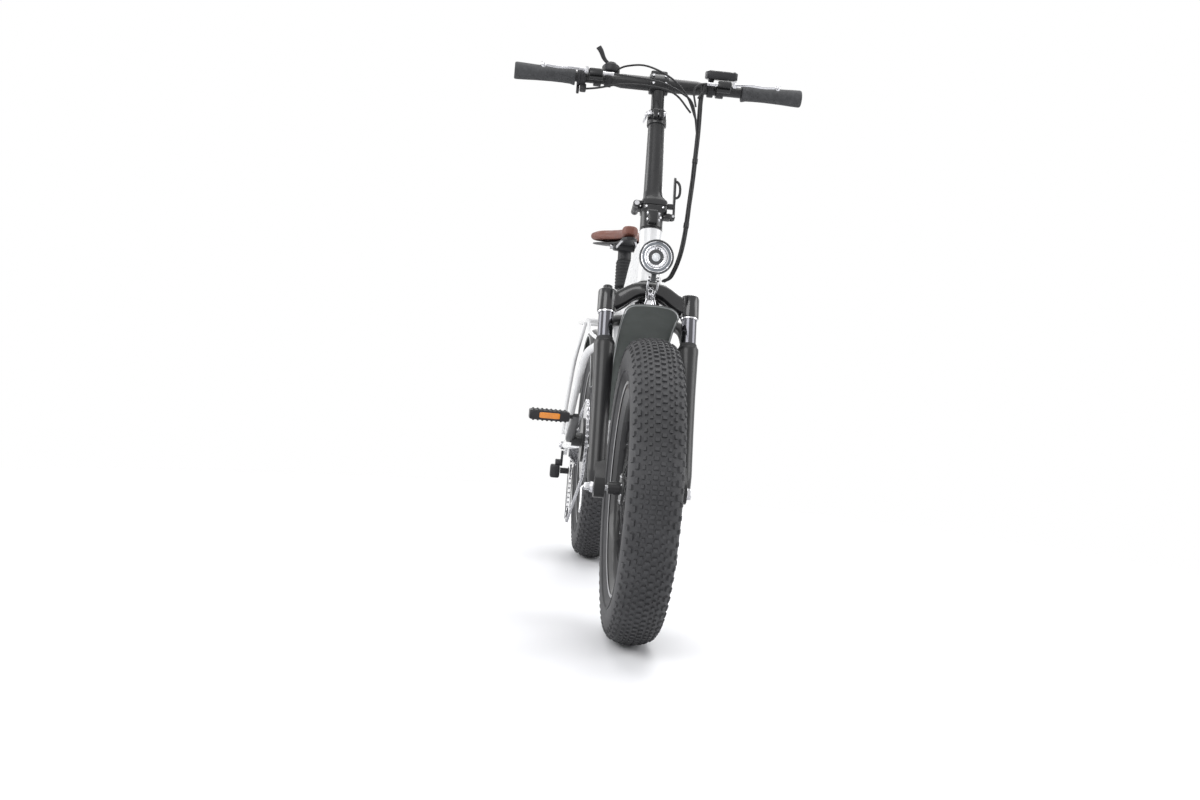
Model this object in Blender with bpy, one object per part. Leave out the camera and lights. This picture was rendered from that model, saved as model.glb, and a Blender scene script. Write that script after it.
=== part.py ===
"""Folding fat-tyre electric bike, in metres: +Z up, it faces -Y, and -X is its drive side."""

import math

import bmesh
import bpy
import numpy as np
from mathutils import Matrix, Vector

# Clearances
GAP = 0.0003
RUNNING = 0.0015

# Wheels: a 20 x 4.0 fat tyre on an 80 mm rim
TYRE_RADIUS = 0.290
TYRE_HALF_WIDTH = 0.050
TYRE_WALL = 0.0045
BEAD_RADIUS = 0.205
RIM_HALF_WIDTH = 0.040
RIM_DEPTH = 0.018
RIM_WALL = 0.003
SPOKE_RADIUS = 0.0016
SPOKES = 14
FRONT_FLANGE_RADIUS = 0.030
FRONT_FLANGE_X = 0.034
MOTOR_RADIUS = 0.080
MOTOR_HALF_WIDTH = 0.036
FRONT_OLD = 0.135
REAR_OLD = 0.170
AXLE_RADIUS = 0.006
ROTOR_RADIUS = 0.080
ROTOR_THICKNESS = 0.002
FRONT_ROTOR_X = 0.054
REAR_ROTOR_X = 0.066

# Main geometry, seen from the side
WHEELBASE = 1.110
HEAD_ANGLE = math.radians(70.5)
RAKE = 0.045
SEAT_ANGLE = math.radians(72)
BRACKET_BEHIND_FRONT_AXLE = 0.680
BRACKET_HEIGHT = 0.335

# Fork, measured up the steering axis from the foot of the axle's perpendicular
LEG_X = 0.083
LEG_Y = -0.025
LEG_RADIUS = 0.0200
LEG_BOTTOM = 0.012
LEG_TOP = 0.300
STANCHION_RADIUS = 0.015
STANCHION_BOTTOM = 0.200
ARCH_BOTTOM = 0.359
ARCH_TOP = 0.385
ARCH_Y = 0.038
ARCH_DEPTH = 0.016
FORK_TRAVEL = 0.040
CROWN_END_BOTTOM = 0.362
CROWN_END_TOP = 0.408
CROWN_END_RADIUS = 0.0185
CROWN_TOP = 0.430
CROWN_UNDER = 0.395
STEERER_RADIUS = 0.0143
KNOB_RADIUS = 0.010
KNOB_HEIGHT = 0.010

# Head tube, fold base, folding mast and bar on the same axis
HEAD_TUBE_RADIUS = 0.0235
HEAD_TUBE_TOP = 0.558
BASE_RADIUS = 0.0225
BASE_TOP = 0.606
MAST_FOOT_HEIGHT = 0.014
MAST_RADIUS_LOW = 0.0185
MAST_RADIUS_HIGH = 0.0170
MAST_TOP = 0.827
COLLAR_HEIGHT = 0.032
COLLAR_RADIUS = 0.0205
STEM_TUBE_RADIUS = 0.0140
STEM_INSERT = 0.150
BAR_HEIGHT = 0.894
BAR_HALF = 0.305
BAR_RADIUS = 0.0111
BAR_MID_RADIUS = 0.0150
BAR_MID_HALF = 0.080
CLAMP_HALF = 0.020
CLAMP_RADIUS = 0.0220
GRIP_LENGTH = 0.128
GRIP_RADIUS = 0.0165
LEVER_PERCH_X = 0.130
MAST_PIN_X = -0.034
MAST_PIN_RADIUS = 0.0040
HINGE_PLATE_HALF = 0.024
HINGE_BARREL_RADIUS = 0.0075
HINGE_BARREL_HALF = 0.010
HINGE_HALF_DEPTH = 0.022
MAST_LATCH_X = 0.0430
MAST_LATCH_LENGTH = 0.092
SHIFTER_X = -0.108
THROTTLE_X = -0.163
DISPLAY_X = 0.110
LEVER_HUB_RADIUS = 0.0045

# Front lamp
LAMP_RADIUS = 0.034
LAMP_DEPTH = 0.040
LAMP_FORWARD = 0.105
LAMP_ALONG = 0.456
BRACKET_WIRE = 0.0028

# Main tube and its fold
TUBE_HALF_WIDTH = 0.0325
TUBE_HALF_HEIGHT = 0.0475
TUBE_WALL = 0.003
TUBE_FRONT = (0.232, 0.730)
TUBE_REAR = (0.735, 0.490)
FOLD_Y = 0.470
FOLD_PLATE = 0.012
FOLD_PLATE_HALF_WIDTH = 0.040
FOLD_PLATE_HALF_HEIGHT = 0.062
FOLD_PIN_X = 0.052
FOLD_PIN_RADIUS = 0.004
FOLD_KNUCKLE_RADIUS = 0.0095
BATTERY_SIZE = (0.052, 0.150, 0.072)

# Rear frame
SEAT_TUBE_RADIUS = 0.0210
SEAT_TUBE_LENGTH = 0.300
POST_RADIUS = 0.0150
SHELL_RADIUS = 0.023
SHELL_HALF = 0.050
CHAINSTAY_RADIUS = 0.0110
SEATSTAY_RADIUS = 0.0095
DROPOUT_THICKNESS = 0.007
RACK_HEIGHT = 0.622
RACK_HALF_WIDTH = 0.070
RACK_FRONT = 0.900
RACK_BACK = 1.300
RACK_ROD = 0.0055
GUARD_RADIUS = 0.318
GUARD_HALF_WIDTH = 0.055
GUARD_WALL = 0.0025
FRONT_GUARD_RADIUS = 0.362

# Saddle
BOOT_LENGTH = 0.070
BOOT_RIBS = 8
BOOT_RADIUS = 0.0200
BOOT_RIB = 0.0028
SADDLE_LENGTH = 0.265
SADDLE_HALF_WIDTH = 0.090
SADDLE_TOP = 0.850
SADDLE_CENTRE = 0.835
SADDLE_FLAT = 0.824
BASE_THICKNESS = 0.008
POST_LOW = 0.110
BOOT_LOW = 0.389
PISTON_RADIUS = 0.0105
PISTON_DEPTH = 0.033
SEAT_TRAVEL = 0.035
RAIL_X = 0.022
RAIL_RADIUS = 0.0035
RAIL_HEIGHT = 0.806

# Drive
RING_RADIUS = 0.093
RING_X = -0.070
RING_THICKNESS = 0.003
COG_RADIUS = 0.036
SPINDLE_RADIUS = 0.0085
PEDAL_AXLE_RADIUS = 0.005
CRANK_LENGTH = 0.170
CRANK_ANGLE = math.radians(20.5)
CRANK_X = 0.103
PEDAL_WIDTH = 0.090
PEDAL_LENGTH = 0.078
PEDAL_THICKNESS = 0.026
CHAIN_WIDTH = 0.006
CHAIN_THICKNESS = 0.007
CHAIN_X = -0.0695
UPPER_PULLEY = (0.565, 0.222, 0.016)
LOWER_PULLEY = (0.545, 0.108, 0.018)

# Kickstand
STAND_PIVOT = (0.115, 0.375, 0.300)
STAND_FOOT_X = 0.200
STAND_RADIUS = 0.008
STAND_LEAN = math.radians(5)

# Cables
LOOM_RADIUS = 0.0045
CABLE_RADIUS = 0.0026

for old in list(bpy.data.objects):
    bpy.data.objects.remove(old)

FRONT_AXLE = Vector((0, -WHEELBASE / 2, TYRE_RADIUS))
REAR_AXLE = Vector((0, WHEELBASE / 2, TYRE_RADIUS))


def along_bike(behind_front_axle):
    """World Y of a place given as its distance behind the front axle."""
    return behind_front_axle - WHEELBASE / 2


def colour(name, rgb, roughness, metallic=0.0):
    material = bpy.data.materials.new(name)
    material.use_nodes = True
    shader = material.node_tree.nodes["Principled BSDF"]
    shader.inputs["Base Color"].default_value = (*rgb, 1)
    shader.inputs["Roughness"].default_value = roughness
    shader.inputs["Metallic"].default_value = metallic
    return material


WHITE = colour("white_paint", (0.85, 0.86, 0.87), 0.3)
BLACK = colour("black_paint", (0.02, 0.02, 0.022), 0.4)
ALLOY = colour("alloy", (0.62, 0.63, 0.65), 0.35, 1.0)
STEEL = colour("steel", (0.5, 0.5, 0.52), 0.35, 1.0)
CHROME = colour("chrome", (0.8, 0.8, 0.82), 0.12, 1.0)
RUBBER = colour("rubber", (0.03, 0.03, 0.03), 0.8)
PLASTIC = colour("black_plastic", (0.025, 0.025, 0.027), 0.55)
LEATHER = colour("brown_leather", (0.30, 0.13, 0.11), 0.55)


def frame_empty(name, place, turn=(0, 0, 0), parent=None):
    """An empty that holds one body, on that body's joint axis."""
    empty = bpy.data.objects.new(name, None)
    empty.location = place
    empty.rotation_euler = turn
    empty.parent = parent
    bpy.context.scene.collection.objects.link(empty)
    return empty


def shape(mesh):
    """A loose object for a mesh, at the origin of the body it is built in."""
    obj = bpy.data.objects.new("shape", mesh)
    bpy.context.scene.collection.objects.link(obj)
    return obj


def from_bmesh(work):
    bmesh.ops.recalc_face_normals(work, faces=work.faces)
    mesh = bpy.data.meshes.new("shape")
    work.to_mesh(mesh)
    work.free()
    return shape(mesh)


def turned(profile, steps, axis="X", centre=(0, 0, 0)):
    """A closed profile of (along, radius) points spun round an axis through centre."""
    work = bmesh.new()
    points = [work.verts.new((along, radius, 0)) for along, radius in profile]
    edges = [work.edges.new((a, b)) for a, b in zip(points, points[1:] + points[:1])]
    bmesh.ops.spin(work, geom=points + edges, axis=(1, 0, 0), cent=(0, 0, 0),
                   angle=math.tau, steps=steps, use_merge=True)
    bmesh.ops.remove_doubles(work, verts=work.verts, dist=1e-6)
    bmesh.ops.dissolve_degenerate(work, edges=work.edges, dist=1e-7)
    lonely = [edge for edge in work.edges if not edge.link_faces]
    bmesh.ops.delete(work, geom=lonely, context="EDGES")
    turn = {"X": Matrix(), "Y": Matrix.Rotation(math.pi / 2, 4, "Z"),
            "Z": Matrix.Rotation(-math.pi / 2, 4, "Y")}[axis]
    bmesh.ops.transform(work, matrix=Matrix.Translation(centre) @ turn, verts=work.verts)
    return from_bmesh(work)


def cylinder(radius, start, end, sides=14, end_radius=None):
    """A round bar or cone from start to end."""
    start, end = Vector(start), Vector(end)
    work = bmesh.new()
    bmesh.ops.create_cone(work, cap_ends=True, segments=sides, radius1=radius,
                          radius2=end_radius or radius, depth=(end - start).length)
    turn = (end - start).to_track_quat("Z", "X").to_matrix().to_4x4()
    bmesh.ops.transform(work, matrix=Matrix.Translation((start + end) / 2) @ turn, verts=work.verts)
    return from_bmesh(work)


def block(size, centre=(0, 0, 0), turn=Matrix(), bevel=0.0):
    """A box, with its edges rounded by one chamfer where bevel is given."""
    work = bmesh.new()
    bmesh.ops.create_cube(work, size=1)
    bmesh.ops.scale(work, vec=size, verts=work.verts)
    if bevel:
        bmesh.ops.bevel(work, geom=work.edges[:], offset=bevel, segments=1, affect="EDGES")
    bmesh.ops.transform(work, matrix=Matrix.Translation(centre) @ turn, verts=work.verts)
    return from_bmesh(work)


def plate(outline, low, high, across="Y"):
    """An outline of (x, z), (y, z) or (x, y) points given thickness from low to high across it."""
    place = {"Y": lambda a, b, c: (a, c, b), "X": lambda a, b, c: (c, a, b),
             "Z": lambda a, b, c: (a, b, c)}[across]
    work = bmesh.new()
    near = work.faces.new([work.verts.new(place(a, b, low)) for a, b in outline])
    lifted = bmesh.ops.extrude_face_region(work, geom=[near])["geom"]
    moved = [part for part in lifted if isinstance(part, bmesh.types.BMVert)]
    shift = Vector(place(0, 0, high - low))
    bmesh.ops.translate(work, vec=shift, verts=moved)
    return from_bmesh(work)


def pipe(points, radius, resolution=2):
    """A round tube along straight runs, mitred at its corners."""
    curve = bpy.data.curves.new("pipe", "CURVE")
    curve.dimensions = "3D"
    curve.bevel_depth = radius
    curve.bevel_resolution = resolution
    curve.use_fill_caps = True
    spline = curve.splines.new("POLY")
    spline.points.add(len(points) - 1)
    for point, place in zip(spline.points, points):
        point.co = (*place, 1)
    obj = bpy.data.objects.new("pipe", curve)
    bpy.context.scene.collection.objects.link(obj)
    bpy.context.view_layer.update()
    mesh = bpy.data.meshes.new_from_object(obj.evaluated_get(bpy.context.evaluated_depsgraph_get()))
    bpy.data.objects.remove(obj)
    work = bmesh.new()
    work.from_mesh(mesh)
    bmesh.ops.remove_doubles(work, verts=work.verts, dist=1e-6)
    return from_bmesh(work)


def smooth_path(points, count):
    """Count points, evenly spaced, on a smooth curve through the given ones."""
    knots = [Vector(point) for point in points]
    knots = [2 * knots[0] - knots[1]] + knots + [2 * knots[-1] - knots[-2]]
    dense = []
    for a, b, c, d in zip(knots, knots[1:], knots[2:], knots[3:]):
        for t in np.linspace(0, 1, 24, endpoint=False):
            dense.append(0.5 * ((2 * b) + (c - a) * t + (2 * a - 5 * b + 4 * c - d) * t ** 2
                                + (3 * b - a - 3 * c + d) * t ** 3))
    dense.append(knots[-2])
    steps = [0.0]
    for a, b in zip(dense, dense[1:]):
        steps.append(steps[-1] + (b - a).length)
    table = np.array([tuple(point) for point in dense])
    at = np.linspace(0, steps[-1], count)
    return [tuple(np.interp(s, steps, table[:, k]) for k in range(3)) for s in at]


def boolean(base, tools, operation):
    """Joins tools to base, or cuts them out of it, and removes them."""
    for tool in tools:
        modifier = base.modifiers.new("join", "BOOLEAN")
        modifier.operation = operation
        modifier.object = tool
    bpy.context.view_layer.update()
    result = base.evaluated_get(bpy.context.evaluated_depsgraph_get())
    mesh = bpy.data.meshes.new_from_object(result)
    base.modifiers.clear()
    base.data = mesh
    for tool in tools:
        bpy.data.objects.remove(tool)
    return base


def joined(*shapes):
    return boolean(shapes[0], shapes[1:], "UNION")


def cut(base, *tools):
    return boolean(base, tools, "DIFFERENCE")


def piece(name, obj, body, material, drawn_in=None):
    """Names a finished shape, gives it its material and hangs it on its body's empty.

    Drawn_in is the empty whose frame the shape was drawn in, where that isn't its own body's."""
    if drawn_in:
        bpy.context.view_layer.update()
        obj.data.transform(body.matrix_world.inverted() @ drawn_in.matrix_world)
    obj.name = name
    obj.data.name = name
    obj.data.materials.clear()
    obj.data.materials.append(material)
    obj.parent = body
    obj.data.shade_smooth()
    obj.data.set_sharp_from_angle(angle=math.radians(40))
    return obj


def ring_section(bore, outer, low, high):
    """The profile of a plain tube wall, for turned."""
    return [(low, bore), (low, outer), (high, outer), (high, bore)]


def tyre(name, body):
    """A hollow fat tyre, open towards the rim, with a flat crown and rounded shoulders."""
    bead, crown = BEAD_RADIUS, TYRE_RADIUS
    half, wall = TYRE_HALF_WIDTH, TYRE_WALL
    seat = -RIM_HALF_WIDTH + RIM_WALL + 0.0004
    outer = [(seat, bead + 0.0005), (-half, bead + 0.45 * (crown - bead)), (-0.82 * half, crown - 0.012),
             (-0.45 * half, crown)]
    outer += [(-along, radius) for along, radius in reversed(outer)]
    inner = [(seat + wall, bead + 0.0005), (-half + wall, bead + 0.45 * (crown - bead)),
             (-0.4 * half, crown - 1.6 * wall)]
    inner += [(-along, radius) for along, radius in reversed(inner)]
    return piece(name, turned(outer + inner[::-1], 28), body, RUBBER)


def rim_section():
    """The rim's wall: a shallow well that the tyre's beads sit over."""
    top, low, half, wall = BEAD_RADIUS - GAP, BEAD_RADIUS - RIM_DEPTH, RIM_HALF_WIDTH, RIM_WALL
    return [(-half, top), (-half + 0.010, low), (half - 0.010, low), (half, top), (half - wall, top),
            (half - 0.012, low + wall), (-half + 0.012, low + wall), (-half + wall, top)]


def spoked_wheel(name, hub, flange_radius, flange_x, body):
    """Rim, spokes and hub shell as one wheel: each side's spokes lean to the rim's middle."""
    wheel = turned(rim_section(), 24)
    reach = BEAD_RADIUS - RIM_DEPTH + 0.0008
    spokes = []
    for index in range(SPOKES):
        angle = math.tau * (index + 0.37) / SPOKES
        side = 1 if index % 2 else -1
        start = (side * flange_x, (flange_radius - 0.006) * math.cos(angle), (flange_radius - 0.006) * math.sin(angle))
        end = (side * 0.012, reach * math.cos(angle), reach * math.sin(angle))
        spokes.append(cylinder(SPOKE_RADIUS, start, end, 4))
    return piece(name, joined(wheel, hub, *spokes), body, BLACK)


def rotor(name, x, body, inner):
    """A brake disc: a band on six arms round the hub's end."""
    disc = turned(ring_section(ROTOR_RADIUS - 0.014, ROTOR_RADIUS, x - ROTOR_THICKNESS / 2, x + ROTOR_THICKNESS / 2), 16)
    centre = turned(ring_section(inner, inner + 0.008, x - ROTOR_THICKNESS / 2, x + ROTOR_THICKNESS / 2), 10)
    arms = []
    for index in range(5):
        angle = math.tau * (index + 0.3) / 5
        reach = (ROTOR_RADIUS + inner - 0.002) / 2
        turn = Matrix.Rotation(angle, 4, "X")
        arms.append(block((ROTOR_THICKNESS, ROTOR_RADIUS - inner - 0.012, 0.008),
                          turn @ Vector((x, reach, 0)), turn))
    return piece(name, joined(disc, centre, *arms), body, STEEL)


def guard(name, radius, half, start, end, steps, body, material, drawn_in):
    """A mudguard: a shallow channel swept round the wheel from start to end, in degrees above forward."""
    work = bmesh.new()
    wall = GUARD_WALL
    section = [(-half, -0.022), (-0.8 * half, -0.004), (0, 0), (0.8 * half, -0.004), (half, -0.022)]
    inner = [(x * (1 - wall / half), lift - wall) for x, lift in section]
    ring = section + inner[::-1]
    rows = []
    for step in range(steps + 1):
        angle = math.radians(start + (end - start) * step / steps)
        rows.append([work.verts.new((x, -(radius + lift) * math.cos(angle), (radius + lift) * math.sin(angle)))
                     for x, lift in ring])
    for near, far in zip(rows, rows[1:]):
        for index in range(len(ring)):
            after = (index + 1) % len(ring)
            work.faces.new((near[index], near[after], far[after], far[index]))
    work.faces.new(rows[0])
    work.faces.new(rows[-1])
    return piece(name, from_bmesh(work), body, material, drawn_in)


# Bodies
rear = frame_empty("rear_frame_body", (0, 0, 0))
front = frame_empty("front_frame_body", (FOLD_PIN_X, along_bike(FOLD_Y), 0))
steer_turn = (HEAD_ANGLE - math.pi / 2, 0, 0)
behind_axis = Vector((0, math.sin(HEAD_ANGLE), -math.cos(HEAD_ANGLE)))
steer_foot = FRONT_AXLE + RAKE * behind_axis
steering = frame_empty("steering_body", steer_foot, steer_turn)
lowers = frame_empty("fork_lowers_body", (0, 0, 0), parent=steering)
mast = frame_empty("mast_body", (0, 0, 0), parent=steering)
bar = frame_empty("bar_body", (0, 0, 0), parent=mast)
front_wheel = frame_empty("front_wheel_body", FRONT_AXLE)
rear_wheel = frame_empty("rear_wheel_body", REAR_AXLE)
bracket_place = Vector((0, along_bike(BRACKET_BEHIND_FRONT_AXLE), BRACKET_HEIGHT))
crank = frame_empty("crank_body", bracket_place)

# Front wheel
tyre("front_tyre", front_wheel)
hub_bore = AXLE_RADIUS + GAP
front_hub = turned([(-FRONT_OLD / 2 + 0.006, hub_bore), (-FRONT_OLD / 2 + 0.006, 0.012),
                    (-FRONT_FLANGE_X - 0.004, 0.016), (-FRONT_FLANGE_X - 0.002, FRONT_FLANGE_RADIUS),
                    (-FRONT_FLANGE_X + 0.002, FRONT_FLANGE_RADIUS), (-FRONT_FLANGE_X + 0.004, 0.018),
                    (FRONT_FLANGE_X - 0.004, 0.018), (FRONT_FLANGE_X - 0.002, FRONT_FLANGE_RADIUS),
                    (FRONT_FLANGE_X + 0.002, FRONT_FLANGE_RADIUS), (FRONT_FLANGE_X + 0.004, 0.016),
                    (FRONT_ROTOR_X - 0.0016, 0.016), (FRONT_ROTOR_X - 0.0016, 0.012),
                    (FRONT_OLD / 2 - 0.006, 0.012), (FRONT_OLD / 2 - 0.006, hub_bore)], 12)
spoked_wheel("front_wheel", front_hub, FRONT_FLANGE_RADIUS, FRONT_FLANGE_X, front_wheel)
rotor("front_rotor", FRONT_ROTOR_X, front_wheel, 0.0130)

# Rear wheel with its motor
tyre("rear_tyre", rear_wheel)
motor = turned([(-REAR_OLD / 2 + 0.030, hub_bore), (-REAR_OLD / 2 + 0.030, 0.018), (-MOTOR_HALF_WIDTH - 0.004, 0.024),
                (-MOTOR_HALF_WIDTH, MOTOR_RADIUS - 0.006), (-MOTOR_HALF_WIDTH + 0.006, MOTOR_RADIUS),
                (MOTOR_HALF_WIDTH - 0.006, MOTOR_RADIUS), (MOTOR_HALF_WIDTH, MOTOR_RADIUS - 0.006),
                (MOTOR_HALF_WIDTH + 0.004, 0.024), (REAR_ROTOR_X - 0.0016, 0.022), (REAR_ROTOR_X - 0.0016, 0.016),
                (REAR_OLD / 2 - 0.008, 0.016), (REAR_OLD / 2 - 0.008, hub_bore)], 18)
spoked_wheel("rear_wheel", motor, MOTOR_RADIUS, MOTOR_HALF_WIDTH - 0.010, rear_wheel)
rotor("rear_rotor", REAR_ROTOR_X, rear_wheel, 0.0172)

# Fork crown with steerer, stanchions and lockout knob
under = [(-LEG_X, CROWN_END_BOTTOM), (-LEG_X + 0.030, CROWN_END_BOTTOM + 0.006), (-0.030, CROWN_UNDER - 0.004),
         (0, CROWN_UNDER), (0.030, CROWN_UNDER - 0.004), (LEG_X - 0.030, CROWN_END_BOTTOM + 0.006),
         (LEG_X, CROWN_END_BOTTOM)]
over = [(LEG_X, CROWN_END_TOP - 0.004), (LEG_X - 0.030, CROWN_END_TOP), (0.034, CROWN_TOP - 0.008),
        (0.020, CROWN_TOP), (-0.020, CROWN_TOP), (-0.034, CROWN_TOP - 0.008), (-LEG_X + 0.030, CROWN_END_TOP),
        (-LEG_X, CROWN_END_TOP - 0.004)]
crown = plate(under + over, LEG_Y - 0.016, LEG_Y + 0.024)
crown_boss = cylinder(0.026, (0, 0, CROWN_UNDER + 0.002), (0, 0, CROWN_TOP), 18)
crown_ends = [cylinder(CROWN_END_RADIUS, (side * LEG_X, LEG_Y, CROWN_END_BOTTOM),
                       (side * LEG_X, LEG_Y, CROWN_END_TOP), 16) for side in (-1, 1)]
stanchions = [cylinder(STANCHION_RADIUS, (side * LEG_X, LEG_Y, STANCHION_BOTTOM),
                       (side * LEG_X, LEG_Y, CROWN_END_TOP - 0.004), 14) for side in (-1, 1)]
steerer = cylinder(STEERER_RADIUS, (0, 0, CROWN_UNDER + 0.004), (0, 0, BASE_TOP - 0.012), 16)
knob = cylinder(KNOB_RADIUS, (-LEG_X, LEG_Y, CROWN_END_TOP - 0.002), (-LEG_X, LEG_Y, CROWN_END_TOP + KNOB_HEIGHT), 14)
piece("fork_crown", joined(crown, crown_boss, *crown_ends, *stanchions, steerer, knob), steering, BLACK)

# Fork lowers: two bored legs, the arch behind the tyre, and the dropouts
legs = []
for side in (-1, 1):
    leg = cylinder(LEG_RADIUS, (side * LEG_X, LEG_Y, LEG_BOTTOM), (side * LEG_X, LEG_Y, LEG_TOP), 16)
    inner_x, outer_x = side * FRONT_OLD / 2, side * (LEG_X + 0.006)
    dropout = plate([(-RAKE - 0.016, -0.016), (-RAKE + 0.014, -0.016), (LEG_Y + 0.010, 0.030), (LEG_Y + 0.010, 0.060),
                     (LEG_Y - 0.012, 0.060), (-RAKE - 0.016, 0.014)],
                    min(inner_x, outer_x), max(inner_x, outer_x), "X")
    web = plate([(LEG_Y + 0.008, LEG_TOP - 0.040), (ARCH_Y + ARCH_DEPTH / 2, ARCH_BOTTOM),
                 (ARCH_Y + ARCH_DEPTH / 2, ARCH_TOP - 0.006), (ARCH_Y - ARCH_DEPTH / 2, ARCH_TOP - 0.006),
                 (LEG_Y + 0.008, LEG_TOP - 0.020)],
                min(side * (LEG_X - 0.014), side * (LEG_X + 0.006)), max(side * (LEG_X - 0.014), side * (LEG_X + 0.006)), "X")
    legs += [leg, dropout, web]
arch = block((2 * LEG_X, ARCH_DEPTH, ARCH_TOP - ARCH_BOTTOM), (0, ARCH_Y, (ARCH_TOP + ARCH_BOTTOM) / 2))
bores = [cylinder(STANCHION_RADIUS + GAP, (side * LEG_X, LEG_Y, STANCHION_BOTTOM - FORK_TRAVEL - 0.010),
                  (side * LEG_X, LEG_Y, LEG_TOP + 0.020), 14) for side in (-1, 1)]
axle_bore = cylinder(AXLE_RADIUS + GAP, (-0.12, -RAKE, 0), (0.12, -RAKE, 0), 16)
piece("fork_lowers", cut(joined(legs[0], *legs[1:], arch), *bores, axle_bore), lowers, BLACK)

# Front axle through the hub, with its nut on the left and the lever's fork on the right
axle = cylinder(AXLE_RADIUS, (-LEG_X - 0.010, -RAKE, 0), (LEG_X + 0.014, -RAKE, 0))
axle_nut = cylinder(0.011, (LEG_X + 0.006 + GAP, -RAKE, 0), (LEG_X + 0.018, -RAKE, 0), 6)
lever_x = -LEG_X - 0.006 - GAP
axle_cap = cylinder(0.0105, (lever_x, -RAKE, 0), (lever_x - 0.007, -RAKE, 0), 12)
lever_ears = [block((0.014, 0.003, 0.011), (lever_x - 0.011, -RAKE + side * 0.0065, 0)) for side in (-1, 1)]
piece("front_axle", joined(axle, axle_nut, axle_cap, *lever_ears), lowers, STEEL)


def clamp_lever(name, body, axis, reach, out, along):
    """A quick release lever: a hub on its hinge axis, and a blade set outwards that runs along."""
    hub_axis, out, along = Vector(axis), Vector(out), Vector(along)
    hub = cylinder(LEVER_HUB_RADIUS, -0.0045 * hub_axis, 0.0045 * hub_axis, 12)
    neck = pipe([0.001 * out, 0.007 * out, 0.009 * out + 0.004 * along, 0.009 * out + reach * along], 0.0028, 1)
    tip_size = Vector([abs(0.0045 * o) + abs(0.018 * a) + abs(0.009 * h) for o, a, h in zip(out, along, hub_axis)])
    tip = block(tip_size, 0.009 * out + (reach - 0.008) * along)
    return piece(name, joined(hub, neck, tip), body, ALLOY)


front_lever = frame_empty("front_lever_body", (lever_x - 0.0125, -RAKE, 0), parent=lowers)
clamp_lever("front_lever", front_lever, (0, 1, 0), 0.052, (-1, 0, 0), (0, 0, -1))

# Front mudguard under the crown, and the wire bracket that holds it and the lamp
axle_place = frame_empty("front_guard_place", (0, -RAKE, 0), parent=steering)
guard("front_mudguard", FRONT_GUARD_RADIUS, GUARD_HALF_WIDTH, 82, 142, 14, steering, BLACK, axle_place)
crown_face = LEG_Y - 0.016
lamp_pivot = Vector((0, -0.090, 0.414))
tab_foot = FRONT_GUARD_RADIUS + GAP
tab = block((0.018, 0.004, CROWN_UNDER + 0.020 - tab_foot),
            (0, crown_face - 0.002 - GAP, (tab_foot + CROWN_UNDER + 0.020) / 2))
wires = [pipe([(side * 0.007, crown_face - 0.003, tab_foot + 0.006), (side * 0.007, crown_face - 0.012, tab_foot + 0.014),
               (side * 0.0085, lamp_pivot.y, lamp_pivot.z)], BRACKET_WIRE, 1) for side in (-1, 1)]
cross = cylinder(BRACKET_WIRE, (-0.0105, *lamp_pivot.yz), (0.0105, *lamp_pivot.yz), 10)
bolt = cylinder(0.006, (0, crown_face - 0.008, CROWN_UNDER + 0.010), (0, crown_face - GAP, CROWN_UNDER + 0.010), 6)
piece("lamp_bracket", joined(tab, *wires, cross, bolt), steering, CHROME)

lamp = frame_empty("lamp_body", lamp_pivot, (-steer_turn[0], 0, 0), steering)
lamp_centre = LAMP_RADIUS + 0.008
shell = turned([(-0.024, 0), (-0.024, LAMP_RADIUS - 0.004), (-0.020, LAMP_RADIUS), (-0.004, LAMP_RADIUS - 0.001),
                (0.010, 0.020), (0.016, 0.008), (0.016, 0)], 22, "Y", (0, 0, lamp_centre))
lug = block((0.010, 0.012, 0.018), (0, 0, 0.004))
lug_bore = cylinder(BRACKET_WIRE + GAP, (-0.02, 0, 0), (0.02, 0, 0), 10)
piece("headlight", cut(joined(shell, lug), lug_bore), lamp, PLASTIC)


def beam(half_width, half_height, start, end, chamfer):
    """A tube of box section with chamfered corners, from start to end as (behind front axle, height)."""
    first, last = Vector((0, along_bike(start[0]), start[1])), Vector((0, along_bike(end[0]), end[1]))
    along = last - first
    section = [(-half_width, -half_height + chamfer), (-half_width + chamfer, -half_height),
               (half_width - chamfer, -half_height), (half_width, -half_height + chamfer),
               (half_width, half_height - chamfer), (half_width - chamfer, half_height),
               (-half_width + chamfer, half_height), (-half_width, half_height - chamfer)]
    bar_shape = plate(section, 0, along.length, "Y")
    turn = Matrix.Rotation(math.atan2(along.z, along.y), 4, "X")
    bar_shape.data.transform(Matrix.Translation(first) @ turn)
    return bar_shape


# Front frame: head tube, the front half of the main tube, and its fold plate
fold_y = along_bike(FOLD_Y)
tube_slope = (TUBE_REAR[1] - TUBE_FRONT[1]) / (TUBE_REAR[0] - TUBE_FRONT[0])
fold_z = TUBE_FRONT[1] + tube_slope * (FOLD_Y - TUBE_FRONT[0])
fold_point = (FOLD_Y, fold_z)
head_bottom = CROWN_TOP + GAP
bpy.context.view_layer.update()
head_tube = cylinder(HEAD_TUBE_RADIUS + 0.002, (0, 0, head_bottom), (0, 0, HEAD_TUBE_TOP), 20, HEAD_TUBE_RADIUS)
head_tube.data.transform(steering.matrix_world)
head_bore = cylinder(STEERER_RADIUS + GAP, (0, 0, head_bottom - 0.01), (0, 0, HEAD_TUBE_TOP + 0.01), 16)
head_bore.data.transform(steering.matrix_world)
past_fold = (FOLD_Y + 0.10, fold_z + 0.10 * tube_slope)
front_tube = beam(TUBE_HALF_WIDTH, TUBE_HALF_HEIGHT, TUBE_FRONT, past_fold, 0.012)
beyond = block((0.3, 0.3, 0.5), (0, fold_y + 0.15 - GAP, fold_z))
front_tube = cut(front_tube, beyond)
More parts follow.
